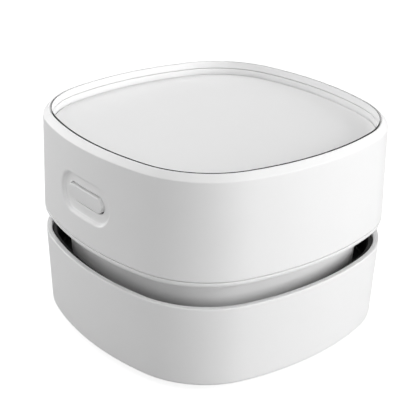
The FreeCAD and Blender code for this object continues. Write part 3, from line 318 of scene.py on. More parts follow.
def sintered_bronze(colours):
    # Oil-soaked sintered bronze: dull, grainy brown metal.
    return surfaced("sintered_bronze", srgb("A97B46"), 0.5, 0.35, 0.006, drift=0.25,
                    Metallic=1.0)


def ferrite(colours):
    # Sintered ferrite: charcoal, matt and finely pitted.
    return surfaced("sintered_ferrite", srgb("3A3A3C"), 0.7, 0.4, 0.008, drift=0.15)


def filled_nylon(colours):
    # Glass-filled nylon: dark grey with short pale fibres that dull it.
    return surfaced("glass_filled_nylon", srgb("3C3D40"), 0.5, 0.4, 0.006, drift=0.2, IOR=1.53)


def pouch_foil(colours):
    # Aluminium laminate pouch: soft silver with shallow creases 3 mm apart.
    return surfaced("aluminium_pouch_laminate", srgb("C4C6C9"), 0.3, 3.0, 0.05, drift=0.06,
                    spread=0.08, Metallic=1.0)


def foam_strip(colours):
    # Closed-cell foam tape: matt black, cells about 0.5 mm across.
    return surfaced("closed_cell_foam", srgb("202020"), 0.85, 0.5, 0.05, drift=0.3)


def solder_mask(colours):
    # Glass-epoxy board under green solder mask: glossy, with the weave faintly in it.
    return surfaced("green_solder_mask", srgb("1B5E36"), 0.28, 0.6, 0.003, drift=0.2, IOR=1.55)


def moulded_epoxy(colours):
    # Transfer-moulded epoxy of chips and coils: matt near-black.
    return surfaced("moulded_epoxy", srgb("1D1D1F"), 0.6, 0.4, 0.005, drift=0.15, IOR=1.55)


MAKERS = {
    "white_shell": spark_eroded_abs, "panel_satin": satin_panel, "neck_grey": silver_abs,
    "black_plastic": black_abs, "soft_black": soft_seal, "foot_rubber": silicone,
    "nylon": nylon_filament, "filter_paper": filter_felt, "button_plastic": smooth_abs,
    "screw_steel": zinc_plate, "motor_steel": drawn_steel, "bush_bronze": sintered_bronze,
    "magnet_ferrite": ferrite, "fan_plastic": filled_nylon, "battery_foil": pouch_foil,
    "foam_tape": foam_strip, "board_green": solder_mask, "chip_black": moulded_epoxy,
}


# Surfaces.

def patch(grid, along=False, keep=None):
    """Quads over a grid of points (rows, columns, 3), closed across its columns, and along its
    rows where asked; keep picks the quads that stay."""
    rows, columns = grid.shape[:2]
    index = np.arange(rows * columns).reshape(rows, columns)
    index = np.concatenate([index, index[:, :1]], axis=1)
    if along:
        index = np.concatenate([index, index[:1]], axis=0)
    corners = np.stack([index[:-1, :-1], index[:-1, 1:], index[1:, 1:], index[1:, :-1]], axis=-1)
    if keep is not None:
        corners = corners[keep]
    return grid.reshape(-1, 3), corners.reshape(-1, 4)


def cut(grid, keep, first, last, left, right):
    """Open a window in a patch, and return the points round it.

    They run along its first row, down its right side, back along its last row and up.
    """
    keep[min(first, last):max(first, last), left:right] = False
    step = 1 if last > first else -1
    wide, high = right - left, abs(last - first)
    rows = np.concatenate([np.full(wide, first), np.arange(first, last, step),
                           np.full(wide, last), np.arange(last, first, -step)])
    columns = np.concatenate([np.arange(left, right), np.full(high, right),
                              np.arange(right, left, -1), np.full(high, left)])
    return grid[rows, columns]


def solid(name, patches, slot, body, *stood_for):
    """One object out of patches that close up: seams and poles are merged, faces turned out."""
    starts = np.cumsum([0] + [len(points) for points, _ in patches])
    points = np.concatenate([points for points, _ in patches])
    faces = np.concatenate([corners + start for (_, corners), start in zip(patches, starts)])
    mesh = bpy.data.meshes.new(name)
    mesh.vertices.add(len(points))
    mesh.vertices.foreach_set("co", points.astype(np.float32).ravel())
    mesh.loops.add(faces.size)
    mesh.loops.foreach_set("vertex_index", faces.astype(np.int32).ravel())
    mesh.polygons.add(len(faces))
    mesh.polygons.foreach_set("loop_start", np.arange(0, faces.size, 4, dtype=np.int32))
    mesh.update(calc_edges=True)
    work = bmesh.new()
    work.from_mesh(mesh)
    bmesh.ops.remove_doubles(work, verts=work.verts, dist=MERGE)
    bmesh.ops.dissolve_degenerate(work, edges=work.edges, dist=MERGE)
    bmesh.ops.recalc_face_normals(work, faces=work.faces)
    work.to_mesh(mesh)
    work.free()
    mesh.shade_smooth()
    mesh.set_sharp_from_angle(angle=SHARP_ANGLE)
    made = bpy.data.objects.new(name, mesh)
    bpy.context.scene.collection.objects.link(made)
    mesh.materials.append(finish(slot))
    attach(made, body)
    if stood_for:
        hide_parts(*stood_for)


def rounded(corners, closed=False):
    """A profile through corners given as (across, height, radius).

    Each corner with a radius becomes an arc tangent to both of its sides, ARC_STEPS facets
    long, and each long side gets a point near both of its ends.
    """
    spots = np.array([corner[:2] for corner in corners], float)
    count = len(spots)
    runs = []
    for place, (_, _, radius) in enumerate(corners):
        inner = closed or 0 < place < count - 1
        spot = spots[place]
        if not (inner and radius):
            runs.append([spot])
            continue
        back, ahead = spots[place - 1] - spot, spots[(place + 1) % count] - spot
        back /= np.linalg.norm(back)
        ahead /= np.linalg.norm(ahead)
        half = math.acos(np.clip(np.dot(back, ahead), -1, 1)) / 2
        reach = radius / math.tan(half)
        middle = spot + (back + ahead) / np.linalg.norm(back + ahead) * radius / math.sin(half)
        first, last = spot + back * reach - middle, spot + ahead * reach - middle
        share = np.linspace(0, 1, ARC_STEPS + 1)[:, None]
        swing = math.pi - 2 * half
        arc = np.sin((1 - share) * swing) * first + np.sin(share * swing) * last
        bent = abs(math.sin(swing)) > STRAIGHT
        runs.append(list(middle + arc / math.sin(swing)) if bent
                    else [spot + back * reach, spot + ahead * reach])
    profile = []
    for place, run in enumerate(runs):
        profile.extend(run)
        if place == count - 1 and not closed:
            break
        start, end = run[-1], runs[(place + 1) % count][0]
        span = np.linalg.norm(end - start)
        if span > 4 * SUPPORT:
            way = (end - start) / span * SUPPORT
            profile.extend([start + way, end - way])
    return np.array(profile)


def wall_rows(profile):
    """Rows of (height, inset, share of the outline, circle radius) from (inset, height)."""
    inset, height = np.asarray(profile).T
    return np.stack([height, inset, np.ones_like(height), np.zeros_like(height)], axis=1)


def disc_rows(profile):
    """The same rows for a round profile of (radius, height)."""
    radius, height = np.asarray(profile).T
    nothing = np.zeros_like(height)
    return np.stack([height, nothing, nothing, radius], axis=1)


def between(start, end, count):
    """Rows spaced evenly between two rows, without those two."""
    share = np.linspace(0, 1, count + 2)[1:-1, None]
    return np.asarray(start)[None] * (1 - share) + np.asarray(end)[None] * share


def capped(rows, start, end, count):
    """Rows closed by a flat cap at both ends, whose middles lie at the heights start and end."""
    first, last = (start, 0, 0, 0), (end, 0, 0, 0)
    return np.concatenate([[first], between(first, rows[0], count), rows,
                           between(rows[-1], last, count), [last]])


class Outline:
    """The casing's outline: four side arcs and four corner arcs, tangent to each other.

    A point is given by the angle of its normal n: it is the centre of its arc plus n times the
    arc's radius, and moving the outline inwards by an inset subtracts n times the inset.
    """
    WINDOW = 20 * MM        # the columns are close together this far from a side's middle
    STEP = 0.5 * MM
    SIDE, CORNER = 2, 34    # columns on the rest of a side's half, and on a corner

    def __init__(self, sizes):
        self.reach = sizes.side_radius
        self.beyond = sizes.side_radius - sizes.half_width
        apart = sizes.side_radius - sizes.corner_radius
        place = (math.sqrt(2 * apart ** 2 - self.beyond ** 2) - self.beyond) / 2
        swing = math.atan2(place, place + self.beyond)
        steps = round(self.WINDOW / self.STEP)
        close = np.arcsin(np.arange(-steps, steps + 1) * self.STEP / self.reach)
        rest = np.linspace(close[-1], swing, self.SIDE + 1)[1:]
        bend = np.linspace(swing, math.pi / 2 - swing, self.CORNER + 1)[1:-1]
        turn = np.concatenate([-rest[::-1], close, rest, bend])
        on_side = (np.arange(len(turn)) < len(turn) - len(bend))[:, None]
        centre = np.where(on_side, [-self.beyond, 0.0], [place, place])
        radius = np.where(on_side, sizes.side_radius, sizes.corner_radius)
        normal = np.stack([np.cos(turn), np.sin(turn)], axis=1)
        quarter = centre + radius * normal
        spins = [np.array([[math.cos(a), math.sin(a)], [-math.sin(a), math.cos(a)]])
                 for a in (math.pi, math.pi * 1.5, 0, math.pi / 2)]
        self.points = np.concatenate([quarter @ spin for spin in spins])
        self.normals = np.concatenate([normal @ spin for spin in spins])
        self.front = len(turn) + self.SIDE + steps      # column at the front's middle
        self.back = 3 * len(turn) + self.SIDE + steps   # column at the back's middle

    def loft(self, rows):
        """Level rings, one for each row.

        A ring is share times the outline moved in by its inset, plus one minus share times a
        circle, both taken at the same normal.
        """
        height, inset, share, radius = (column[:, None, None] for column in np.asarray(rows).T)
        flat = share * (self.points - inset * self.normals) + (1 - share) * radius * self.normals
        tall = np.broadcast_to(height, flat.shape[:2] + (1,))
        return np.concatenate([flat, tall], axis=2)

    def ring(self, corners):
        """A patch all round the outline, with a closed section through corners."""
        return patch(self.loft(wall_rows(rounded(corners, closed=True))), along=True)


def stadium(points, ends):
    """Core places in -1..1 and directions round a slot shape, counter-clockwise.

    They run along its straight sides, in points steps each, and round its ends, in ends steps.
    """
    across = np.linspace(-1, 1, points + 1)[:-1]
    bend = np.linspace(0, math.pi, ends + 1)[:-1]
    right = np.stack([np.sin(bend), -np.cos(bend)], axis=1)
    low = np.broadcast_to([0.0, -1.0], (points, 2))
    core = np.concatenate([across, np.ones(ends), -across, -np.ones(ends)])
    return core, np.concatenate([low, right, -low, -right])


def slot_ring(core, way, long, wide):
    """The points (count, 2) of a slot shape: core (long - wide) / 2 along it plus way wide / 2."""
    spot = way * wide / 2
    spot[:, 0] += core * (long - wide) / 2
    return spot


def spun(profile, centre=(0, 0), count=64, closed=False):
    """A profile of (radius, height) turned about an upright axis.

    An open profile starts and ends on the axis, and a closed one makes a ring.
    """
    turn = np.arange(count) * TURN / count
    radius, height = np.asarray(profile).T[:, :, None]
    grid = np.stack([centre[0] + radius * np.cos(turn), centre[1] + radius * np.sin(turn),
                     np.broadcast_to(height, (len(profile), count))], axis=2)
    return patch(grid, along=closed)


def bar(start, end, wide, low, high, edge):
    """A bar with a rounded top and bottom between two level points, closed at both ends.

    Its section is a rounded rectangle, carried along the line and drawn to a point at each end.
    """
    start, end = np.asarray(start, float), np.asarray(end, float)
    way = (end - start) / np.linalg.norm(end - start)
    side = np.array([-way[1], way[0]])
    section = rounded([(-wide / 2, low, edge), (wide / 2, low, edge), (wide / 2, high, edge),
                       (-wide / 2, high, edge)], closed=True)
    middle = np.array([0, (low + high) / 2])
    rings = [(start, 0.0), (start, 1.0), (end, 1.0), (end, 0.0)]
    grid = []
    for spot, grow in rings:
        across, height = (middle + (section - middle) * grow).T
        grid.append(np.stack([spot[0] + side[0] * across, spot[1] + side[1] * across, height],
                             axis=1))
    return patch(np.array(grid))


def quarter_turns(points):
    """Level spots repeated on all four quarters."""
    x, y = points
    return [(x, y), (-y, x), (-x, -y), (y, -x)]


# Pieces.

class DESKVAC_OT_dust_cup(Operator):
    """Build the white dust cup with its floor, inlet hole, brush groove and tray ribs"""
    bl_idname = "deskvac.dust_cup"
    bl_label = "Dust Cup"

    def execute(self, context):
        sizes = context.scene.desk_vacuum_casing
        around = Outline(sizes)
        low, top = sizes.cup_level, sizes.cup_rim
        slope = (sizes.cup_base_inset - sizes.cup_rim_inset) / (top - low)
        floor = low + sizes.cup_floor
        inner_top = sizes.cup_rim_inset + sizes.cup_wall
        inner_low = inner_top + slope * (top - floor)
        hole, groove_in, groove_out, groove = 9.9 * MM, 12.0 * MM, 16.4 * MM, 1.0 * MM
        underside = disc_rows(rounded([
            (hole, floor, 0), (hole, low, 0.2 * MM), (groove_in, low, 0.15 * MM),
            (groove_in, low + groove, 0), (groove_out, low + groove, 0),
            (groove_out, low, 0.15 * MM), (groove_out + MM, low, 0)]))
        wall = wall_rows(rounded([
            (sizes.cup_base_inset + 2.5 * MM, low, 0), (sizes.cup_base_inset, low, 0.8 * MM),
            (sizes.cup_rim_inset, top, 0.3 * MM), (inner_top, top, 0.3 * MM),
            (inner_low, floor, 1.0 * MM), (inner_low + 3 * MM, floor, 0)]))
        inside = disc_rows(rounded([(hole + MM, floor, 0), (hole, floor, 0)]))
        rows = np.concatenate([underside, between(underside[-1], wall[0], 6), wall,
                               between(wall[-1], inside[0], 6), inside[:1]])
        patches = [patch(around.loft(rows), along=True)]
        # Two ribs on each side hold up the tray.
        thick, deep, tall = 1.2 * MM, 3.0 * MM, 10.4 * MM
        far = around.reach - sizes.cup_base_inset - sizes.cup_wall / 2
        for angle in (-11.0, 11.0):
            swing = math.radians(angle)
            way = np.array([math.sin(swing), -math.cos(swing)])
            outer, inner = way * far, way * (far - deep)
            for turned_out, turned_in in zip(
                    quarter_turns(outer + [0, around.beyond]),
                    quarter_turns(inner + [0, around.beyond])):
                patches.append(bar(turned_out, turned_in, thick, floor - 0.3 * MM, floor + tall,
                                   0.25 * MM))
        solid("cup_shell", patches, "white_shell", "dust_cup", "lower_shell")
        return {"FINISHED"}


class DESKVAC_OT_feet_and_brush(Operator):
    """Build the four glide feet and the bristle tufts of the brush"""
    bl_idname = "deskvac.feet_and_brush"
    bl_label = "Feet and Brush"

    tufts: IntProperty(name="Tufts", description="Tufts round the brush", default=24, min=3)

    def execute(self, context):
        radius, high, place = 5 * MM, 2.1 * MM, 24.5 * MM
        foot = rounded([(0, 0, 0), (radius, 0, 0.5 * MM), (radius, high, 0.1 * MM),
                        (0, high, 0)])
        solid("glide_pads", [spun(foot, spot) for spot in quarter_turns((place, place))],
              "foot_rubber", "dust_cup", "glide_feet")

        # A tuft is 19 filaments in three rings; each leans out with its distance from the
        # tuft's middle, and narrows at the tip.
        middle, spacing, thick = 14.2 * MM, 0.29 * MM, 0.14 * MM
        ring = [(0.0, 0.0)]
        for shell, members in ((1, 6), (2, 12)):
            turn = np.arange(members) * TURN / members
            ring += list(zip(shell * np.cos(turn), shell * np.sin(turn)))
        ring = np.array(ring) * spacing
        seat = np.arange(self.tufts) * TURN / self.tufts
        root = np.stack([middle * np.cos(seat), middle * np.sin(seat)], axis=1)
        chance = np.random.default_rng(7)
        lean = chance.normal(0, 0.10 * MM, (self.tufts, len(ring), 2))
        tip = chance.uniform(0, 0.25 * MM, (self.tufts, len(ring)))
        share = np.array([0, 0, 0.35, 0.7, 1, 1])       # places along a filament
        swell = np.array([0, 1, 1, 0.95, 0.7, 0])       # its thickness there
        high, low = 2.4 * MM, 0.2 * MM
        height = high + (low + tip[..., None] - high) * share
        spread = ring * 0.45 + lean
        centre = ((root[:, None, :] + ring)[:, :, None, :]
                  + spread[:, :, None, :] * (share ** 2)[:, None])
        sides = np.arange(6) * TURN / 6
        circle = np.stack([np.cos(sides), np.sin(sides)], axis=1) * thick
        level = centre[:, :, :, None, :] + swell[:, None, None] * circle
        tall = np.broadcast_to(height[..., None, None], level.shape[:4] + (1,))
        rods = np.concatenate([level, tall], axis=4).reshape(-1, len(share), len(sides), 3)
        solid("bristle_filaments", [patch(rod) for rod in rods], "nylon", "dust_cup",
              "bristle_tufts")
        return {"FINISHED"}


class DESKVAC_OT_filter_tray(Operator):
    """Build the black tray that lines the mouth of the cup, with its collar and grid"""
    bl_idname = "deskvac.filter_tray"
    bl_label = "Filter Tray"

    pitch: length("Grid pitch", 7.0, "Distance between the bars of the grid")

    def execute(self, context):
        sizes = context.scene.desk_vacuum_casing
        around = Outline(sizes)
        low, floor, top, collar = 13.8 * MM, 15.3 * MM, 23.2 * MM, 24.5 * MM
        inset, collar_out, collar_in, opening = 1.82 * MM, 15.2 * MM, 16.4 * MM, 18.4 * MM
        slope = (sizes.cup_base_inset - sizes.cup_rim_inset) / (sizes.cup_rim - sizes.cup_level)
        outer = inset + slope * (top - low)
        edge, wall = 0.25 * MM, 1.2 * MM
        inner_floor = inset + wall + slope * (top - floor)
        patches = [around.ring([
            (outer, low, 0.4 * MM), (inset, top, edge), (inset + wall, top, edge),
            (inner_floor, floor, 0.8 * MM), (collar_out, floor, 0.8 * MM),
            (collar_out, collar, edge), (collar_in, collar, edge), (collar_in, floor, 0.1 * MM),
            (opening, floor, 0.2 * MM), (opening, low, 0.2 * MM)])]
        # The grid's bars run 1 mm into the opening's edge.
        reach = sizes.half_width - (opening - 1.0 * MM)
        steps = int(reach / self.pitch)
        for place in np.arange(-steps, steps + 1) * self.pitch:
            for start, end in (((-reach, place), (reach, place)),
                               ((place, -reach), (place, reach))):
                patches.append(bar(start, end, 1.2 * MM, low, low + 1.0 * MM, 0.2 * MM))
        solid("tray_moulding", patches, "black_plastic", "filter_unit", "filter_tray")
        return {"FINISHED"}


class DESKVAC_OT_neck(Operator):
    """Build the silver-grey neck with the flange inside its top"""
    bl_idname = "deskvac.neck"
    bl_label = "Neck"

    def execute(self, context):
        around = Outline(context.scene.desk_vacuum_casing)
        low, top = 16.4 * MM, context.scene.desk_vacuum_casing.cover_level
        draft = math.tan(math.radians(3.4))
        outer, wall, flange, bore = 6.2 * MM, 1.5 * MM, 1.5 * MM, 16.0 * MM
        foot = outer + draft * (top - low)
        under = top - flange
        shell = around.ring([
            (foot, low, 0.3 * MM), (outer, top, 0), (bore, top, 0.2 * MM),
            (bore, under, 0.2 * MM), (outer + wall + draft * flange, under, 0.5 * MM),
            (foot + wall, low, 0.3 * MM)])
        solid("neck_shell", [shell], "neck_grey", "upper_unit", "neck_ring")
        return {"FINISHED"}


class DESKVAC_OT_bottom_cover(Operator):
    """Build the bottom cover: the band under the parting line, the slots and the fan guard"""
    bl_idname = "deskvac.bottom_cover"
    bl_label = "Bottom Cover"

    def execute(self, context):
        sizes = context.scene.desk_vacuum_casing
        around = Outline(sizes)
        low, top, plate, spigot = sizes.cover_level, sizes.parting, 32.0 * MM, 33.44 * MM
        eye, near, far = 13.0 * MM, 3.5 * MM, 5.9 * MM
        gap_deep, spigot_out, spigot_in = 1.0 * MM, 2.05 * MM, 3.25 * MM
        under = wall_rows(rounded([
            (near, low, 0), (0, low, 1.1 * MM), (0, top - sizes.gap, sizes.edge - sizes.gap / 2),
            (gap_deep, top - sizes.gap, 0), (gap_deep, top, 0), (spigot_out, top, 0.1 * MM),
            (spigot_out, spigot, 0.3 * MM), (spigot_in, spigot, 0.3 * MM),
            (spigot_in, plate, 0.1 * MM), (near, plate, 0)]))
        edge, spread = 0.2 * MM, 8      # the eye's bevel, and the rows between eye and slots
        eye_low, eye_top = disc_rows([(eye, low + edge), (eye, plate - edge)])
        slot_low, slot_top = wall_rows([(far, low), (far, plate)])
        ring_low, ring_top = disc_rows([(eye + edge, low), (eye + edge, plate)])
        rows = np.concatenate([[eye_low, ring_low], between(ring_low, slot_low, spread),
                               [slot_low], under, [slot_top],
                               between(slot_top, ring_top, spread), [ring_top, eye_top]])
        grid = around.loft(rows)
        keep = np.ones(grid.shape[:2], bool)
        # Each slot takes a window out of the underside and out of the top of the plate, and
        # four walls join the two windows.
        low_row, top_row = 2 + spread, len(rows) - 4 - spread
        pitch = around.reach * math.radians(4.1)
        steps = [round(place * pitch / around.STEP) for place in range(-3, 4)]
        half = round(2.0 * MM / around.STEP)
        patches = []
        for middle in around.front + np.arange(4) * (grid.shape[1] // 4):
            for step in steps:
                window = (middle % grid.shape[1] + step - half,
                          middle % grid.shape[1] + step + half)
                patches.append(patch(np.array([cut(grid, keep, low_row, low_row + 1, *window),
                                               cut(grid, keep, top_row + 1, top_row, *window)])))
        patches.append(patch(grid, along=True, keep=keep))
        # The fan guard is a ring and a hub on six spokes.
        ring_out, ring_in, hub, guard_top = 7.6 * MM, 6.4 * MM, 2.6 * MM, low + 1.2 * MM
        patches.append(spun(rounded([
            (ring_in, low, edge), (ring_out, low, edge), (ring_out, guard_top, edge),
            (ring_in, guard_top, edge)], closed=True), count=96, closed=True))
        patches.append(spun(rounded([(0, low, 0), (hub, low, 0.3 * MM), (hub, guard_top, edge),
                                     (0, guard_top, 0)])))
        for turn in np.arange(6) * TURN / 6:
            way = np.array([math.cos(turn), math.sin(turn)])
            patches.append(bar(way * 2.0 * MM, way * (eye + 0.5 * MM), 1.2 * MM, low, guard_top,
                               0.25 * MM))
        solid("cover_moulding", patches, "white_shell", "upper_unit", "bottom_cover")
        return {"FINISHED"}


def dish_rings(button, wall):
    """Slot shapes (length, width, depth) down the dish's wall, over its floor and into its hole.

    The dish's wall is an arc of the lip's radius that runs into one of the foot's radius:
    together they fall by the dish's depth.
    """
    deep = button.dish_depth
    lean = math.acos(1 - deep / (button.lip + button.foot))
    run = (button.lip + button.foot) * math.sin(lean)
    lip = [(button.lip * math.sin(a), button.lip * (1 - math.cos(a)))
           for a in np.linspace(0, lean, 8)]
    foot = [(run - button.foot * math.sin(a), deep - button.foot * (1 - math.cos(a)))
            for a in np.linspace(lean, 0, 6)[1:]]
    # The dish's length and width are taken 0.6 of the way down its wall's run.
    rings = [(button.dish_length + 2 * (0.6 * run - inwards),
              button.dish_width + 2 * (0.6 * run - inwards), depth)
             for inwards, depth in [(-SUPPORT, 0), *lip, *foot, (run + SUPPORT, deep)]]
    hole = (button.key_length + 2 * button.key_gap, button.key_width + 2 * button.key_gap)
    margin = 0.6 * MM
    for share in (0.5, 0.85):
        rings.append((rings[-1][0] * (1 - share) + (hole[0] + margin) * share,
                      rings[-1][1] * (1 - share) + (hole[1] + margin) * share, deep))
    return (rings + widened(hole, ((0.15, 0), (0.045, 0.045), (0, 0.15)), deep)
            + [(*hole, wall)])


def port_rings(wall):
    """The same for the charging port: a shallow funnel and a straight hole."""
    hole = (9.34 * MM, 3.66 * MM)
    funnel = ((0.5, 0), (0.3, 0), (0.15, 0.04), (0.04, 0.15), (0, 0.3), (0, 1.0))
    return widened(hole, funnel, 0) + [(*hole, wall)]


def widened(hole, steps, deep):
    """Rings round a hole, from steps of (how much wider, how far down) in millimetres."""
    return [(hole[0] + 2 * out * MM, hole[1] + 2 * out * MM, deep + down * MM)
            for out, down in steps]


class DESKVAC_OT_housing(Operator):
    """Build the white upper housing: drafted walls, bevelled rim, recess, button dish and port"""
    bl_idname = "deskvac.housing"
    bl_label = "Upper Housing"

    def execute(self, context):
        sizes, button = context.scene.desk_vacuum_casing, context.scene.desk_vacuum_button
        around = Outline(sizes)
        low, rim = sizes.parting, sizes.rim
        slope = sizes.rim_inset / (rim - low)
        recess = sizes.rim_inset + sizes.rim_width
        seat, seat_in, step, roof = 53.82 * MM, 3.21 * MM, 56.8 * MM, 52.42 * MM
        port_level = 45.63 * MM
        # Rows of the button's and the port's windows, and the heights just outside them.
        levels = np.arange(37.0, 51.75, 0.5) * MM
        beneath, above_out, above_in = 36.5 * MM, 52 * MM, 51.8 * MM

        # The rim has a groove round it, and a thin black seal stands against the groove's inner
        # wall; its black face is partly a seal and partly painted shade, the dark line along the
        # rim's inner edge.
        # A fine line runs round the recess's wall half way down.
        seal_end, groove, fall = sizes.seal_in + sizes.seal_width, 0.6 * MM, 0.1 * MM
        line, line_deep = 0.2 * MM, 0.6 * MM
        bevel_fall = sizes.bevel / (1 - slope)
        above = rounded([
            (recess + 5 * MM, seat, 0), (seat_in, seat, 0), (seat_in, step, 0),
            (recess - line_deep, step, 0), (recess - line_deep, step + line, 0),
            (recess, step + line, 0), (recess, rim, 0.03 * MM), (seal_end, rim, 0.02 * MM),
            (seal_end, rim - groove, 0), (sizes.groove_in, rim - groove, 0),
            (sizes.groove_in, rim - fall, 0.02 * MM), (sizes.groove_in - fall, rim, 0.05 * MM),
            (sizes.rim_inset + sizes.bevel, rim, 0.15 * MM),
            (sizes.rim_inset - slope * bevel_fall, rim - bevel_fall, 0.4 * MM),
            (slope * (above_out - low), above_out, 0)])
        outer = np.stack([slope * (levels[::-1] - low), levels[::-1]], axis=1)
        below = rounded([(slope * (beneath - low), beneath, 0), (0, low, sizes.edge),
                         (sizes.wall, low, sizes.edge),
                         (sizes.wall + slope * (beneath - low), beneath, 0)])
        inner = np.stack([sizes.wall + slope * (levels - low), levels], axis=1)
        ceiling = rounded([(sizes.wall + slope * (above_in - low), above_in, 0),
                           (sizes.wall + slope * (roof - low), roof, 0.3 * MM),
                           (8 * MM, roof, 0)])
        walls = wall_rows(np.concatenate([above, outer, below, inner, ceiling]))
        cap_rows = 6
        grid = around.loft(capped(walls, seat, roof, cap_rows))
        first_out = 1 + cap_rows + len(above)
        first_in = first_out + len(outer) + len(below)
        keep = np.ones((len(grid) - 1, grid.shape[1]), bool)

        def opening(middle, centre, high, wide, rings):
            """Cut a window in both walls and join the two by rings.

            middle: its column; centre: its height; high, wide: half sizes in steps of the
            grid; rings: (length, width, depth below the outer face) from the outer to the
            inner window.
            """
            top = int(np.argmin(abs(levels[::-1] - centre))) - high
            sides = middle - wide, middle + wide
            start, end = first_out + top, first_in + len(levels) - 1 - top
            first = cut(grid, keep, start, start + 2 * high, *sides)
            last = cut(grid, keep, end, end - 2 * high, *sides)
            facing = -1 if middle == around.front else 1
            across, rise = -facing * first[:, 0], first[:, 2] - centre
            half = (rings[0][0] - rings[0][1]) / 2
            core = np.clip(across / half, -1, 1)
            way = np.stack([across - core * half, rise], axis=1)
            way /= np.linalg.norm(way, axis=1)[:, None]
            loops = [np.column_stack([slot_ring(core, way, long, broad),
                                      np.full(len(core), depth)])
                     for long, broad, depth in rings]
            outside = np.column_stack([across, rise, np.zeros(len(core))])
            inside = outside + [0, 0, sizes.wall]
            share = np.linspace(0, 1, 6)[1:-1, None, None]
            flat = np.concatenate([outside * (1 - share) + loops[0] * share, loops,
                                   loops[-1] * (1 - share) + inside * share])
            # A ring's point lies on a circle about the side arc's centre, whose radius is the
            # arc's less the lean of the wall at its height and less its depth.
            reach = around.reach - slope * (flat[..., 1] + centre - low) - flat[..., 2]
            deep = np.sqrt(reach ** 2 - flat[..., 0] ** 2) - around.beyond
            skin = np.stack([-facing * flat[..., 0], facing * deep, flat[..., 1] + centre], axis=2)
            return patch(np.concatenate([first[None], skin, last[None]]))

        dish = opening(around.front, button.level, 13, 26, dish_rings(button, sizes.wall))
        socket = opening(around.back, port_level, 7, 14, port_rings(sizes.wall))
        solid("housing_moulding", [patch(grid, keep=keep), dish, socket], "white_shell",
              "upper_unit", "upper_housing")

        # A thin black seal in the rim's groove. Its black face draws the dark line along the rim's
        # inner edge: it is partly a seal and partly painted shade.
        foot, top = rim - groove - 0.1 * MM, rim - 0.01 * MM
        seal = around.ring([(sizes.seal_in, foot, 0), (seal_end, foot, 0),
                            (seal_end, top, 0.03 * MM), (sizes.seal_in, top, 0.03 * MM)])
        solid("rim_seal", [seal], "soft_black", "upper_unit")
        return {"FINISHED"}


class DESKVAC_OT_top_panel(Operator):
    """Build the satin panel in the housing's recess"""
    bl_idname = "deskvac.top_panel"
    bl_label = "Top Panel"

    def execute(self, context):
        around = Outline(context.scene.desk_vacuum_casing)
        low, top, inset = 53.82 * MM, 55.02 * MM, 3.5 * MM
        flat = inset + 6 * MM
        side = wall_rows(rounded([(flat, low, 0), (inset, low, 0.1 * MM),
                                  (inset, top, 0.12 * MM), (flat, top, 0)]))
        plate = patch(around.loft(capped(side, low, top, 5)))
        solid("panel_plate", [plate], "panel_satin", "upper_unit", "top_panel")
        return {"FINISHED"}


class DESKVAC_OT_button(Operator):
    """Build the key with its ears and stem"""
    bl_idname = "deskvac.button"
    bl_label = "Button"

    def execute(self, context):
        button = context.scene.desk_vacuum_button
        long, wide, face = button.key_length, button.key_width, button.key_face
        flange, back, stem, end = 40.05 * MM, 39.05 * MM, 1.6 * MM, 36.85 * MM
        crown, turned, ears = 0.08 * MM, button.key_round, long + 4 * MM
        # Slot rings of (length, width, distance forward): a face that swells by the crown, less
        # the square of the share of the way out, a rounded edge, the sides, the ears and the stem.
        rings = [(0, 0, face + crown)]
        rings += [(long - wide * (1 - share), wide * share, face + crown * (1 - share ** 2))
                  for share in (0.25, 0.5, 0.7)]
        rings += [(long + 2 * (turned * math.sin(a) - turned),
                   wide + 2 * (turned * math.sin(a) - turned),
                   face - turned * (1 - math.cos(a)))
                  for a in np.linspace(0, math.pi / 2, 8)]
        rings += [(long, wide, flange), (ears, wide, flange), (ears, wide, back),
                  (2 * stem, 2 * stem, back), (2 * stem, 2 * stem, end), (0, 0, end)]
        core, way = stadium(28, 28)
        grid = []
        for ring_length, ring_width, forward in rings:
            spot = slot_ring(core, way, ring_length, ring_width)
            grid.append(np.column_stack([spot[:, 0], np.full(len(spot), -forward),
                                         spot[:, 1] + button.level]))
        solid("button_key", [patch(np.array(grid))], "button_plastic", "button_unit",
              "power_button")
        return {"FINISHED"}


class DESKVAC_OT_carried_parts(Operator):
    """Give every CAD node that is still shown its finish"""
    bl_idname = "deskvac.carried_parts"
    bl_label = "Inner Parts"

    def execute(self, context):
        slots = {part["node"]: part["material_slot"] for part in frame["record"]["subparts"]}
        for name, piece in frame["nodes"].items():
            if piece.hide_render:
                continue
            for place in piece.material_slots:
                place.link = "OBJECT"
                place.material = finish(slots[name])
        return {"FINISHED"}


def white_sweep(studio):
    """Matt paper, which the camera sees lifted, up to the world's white far from the middle."""
    material, tree = blank("matt_white_sweep")
    paper = node(tree, "BsdfDiffuse", {"Color": (*srgb("B6B6B6"), 1)})
    spot = node(tree, "TexCoord").outputs["Object"]
    away = node(tree, "VectorMath", {0: spot}, operation="LENGTH")
    lift = node(tree, "MapRange", {
        "Value": away.outputs["Value"], "From Min": 0.25, "From Max": 1.2,
        "To Min": studio.floor_lift, "To Max": 1.0})
    glow = node(tree, "Emission", {"Color": WHITE, "Strength": lift.outputs["Result"]})
    lifted = node(tree, "AddShader", {0: paper.outputs[0], 1: glow.outputs[0]})
    seen = node(tree, "LightPath").outputs["Is Camera Ray"]
    both = node(tree, "MixShader", {0: seen, 1: paper.outputs[0], 2: lifted.outputs[0]})
    node(tree, "OutputMaterial", {"Surface": both.outputs[0]})
    return material


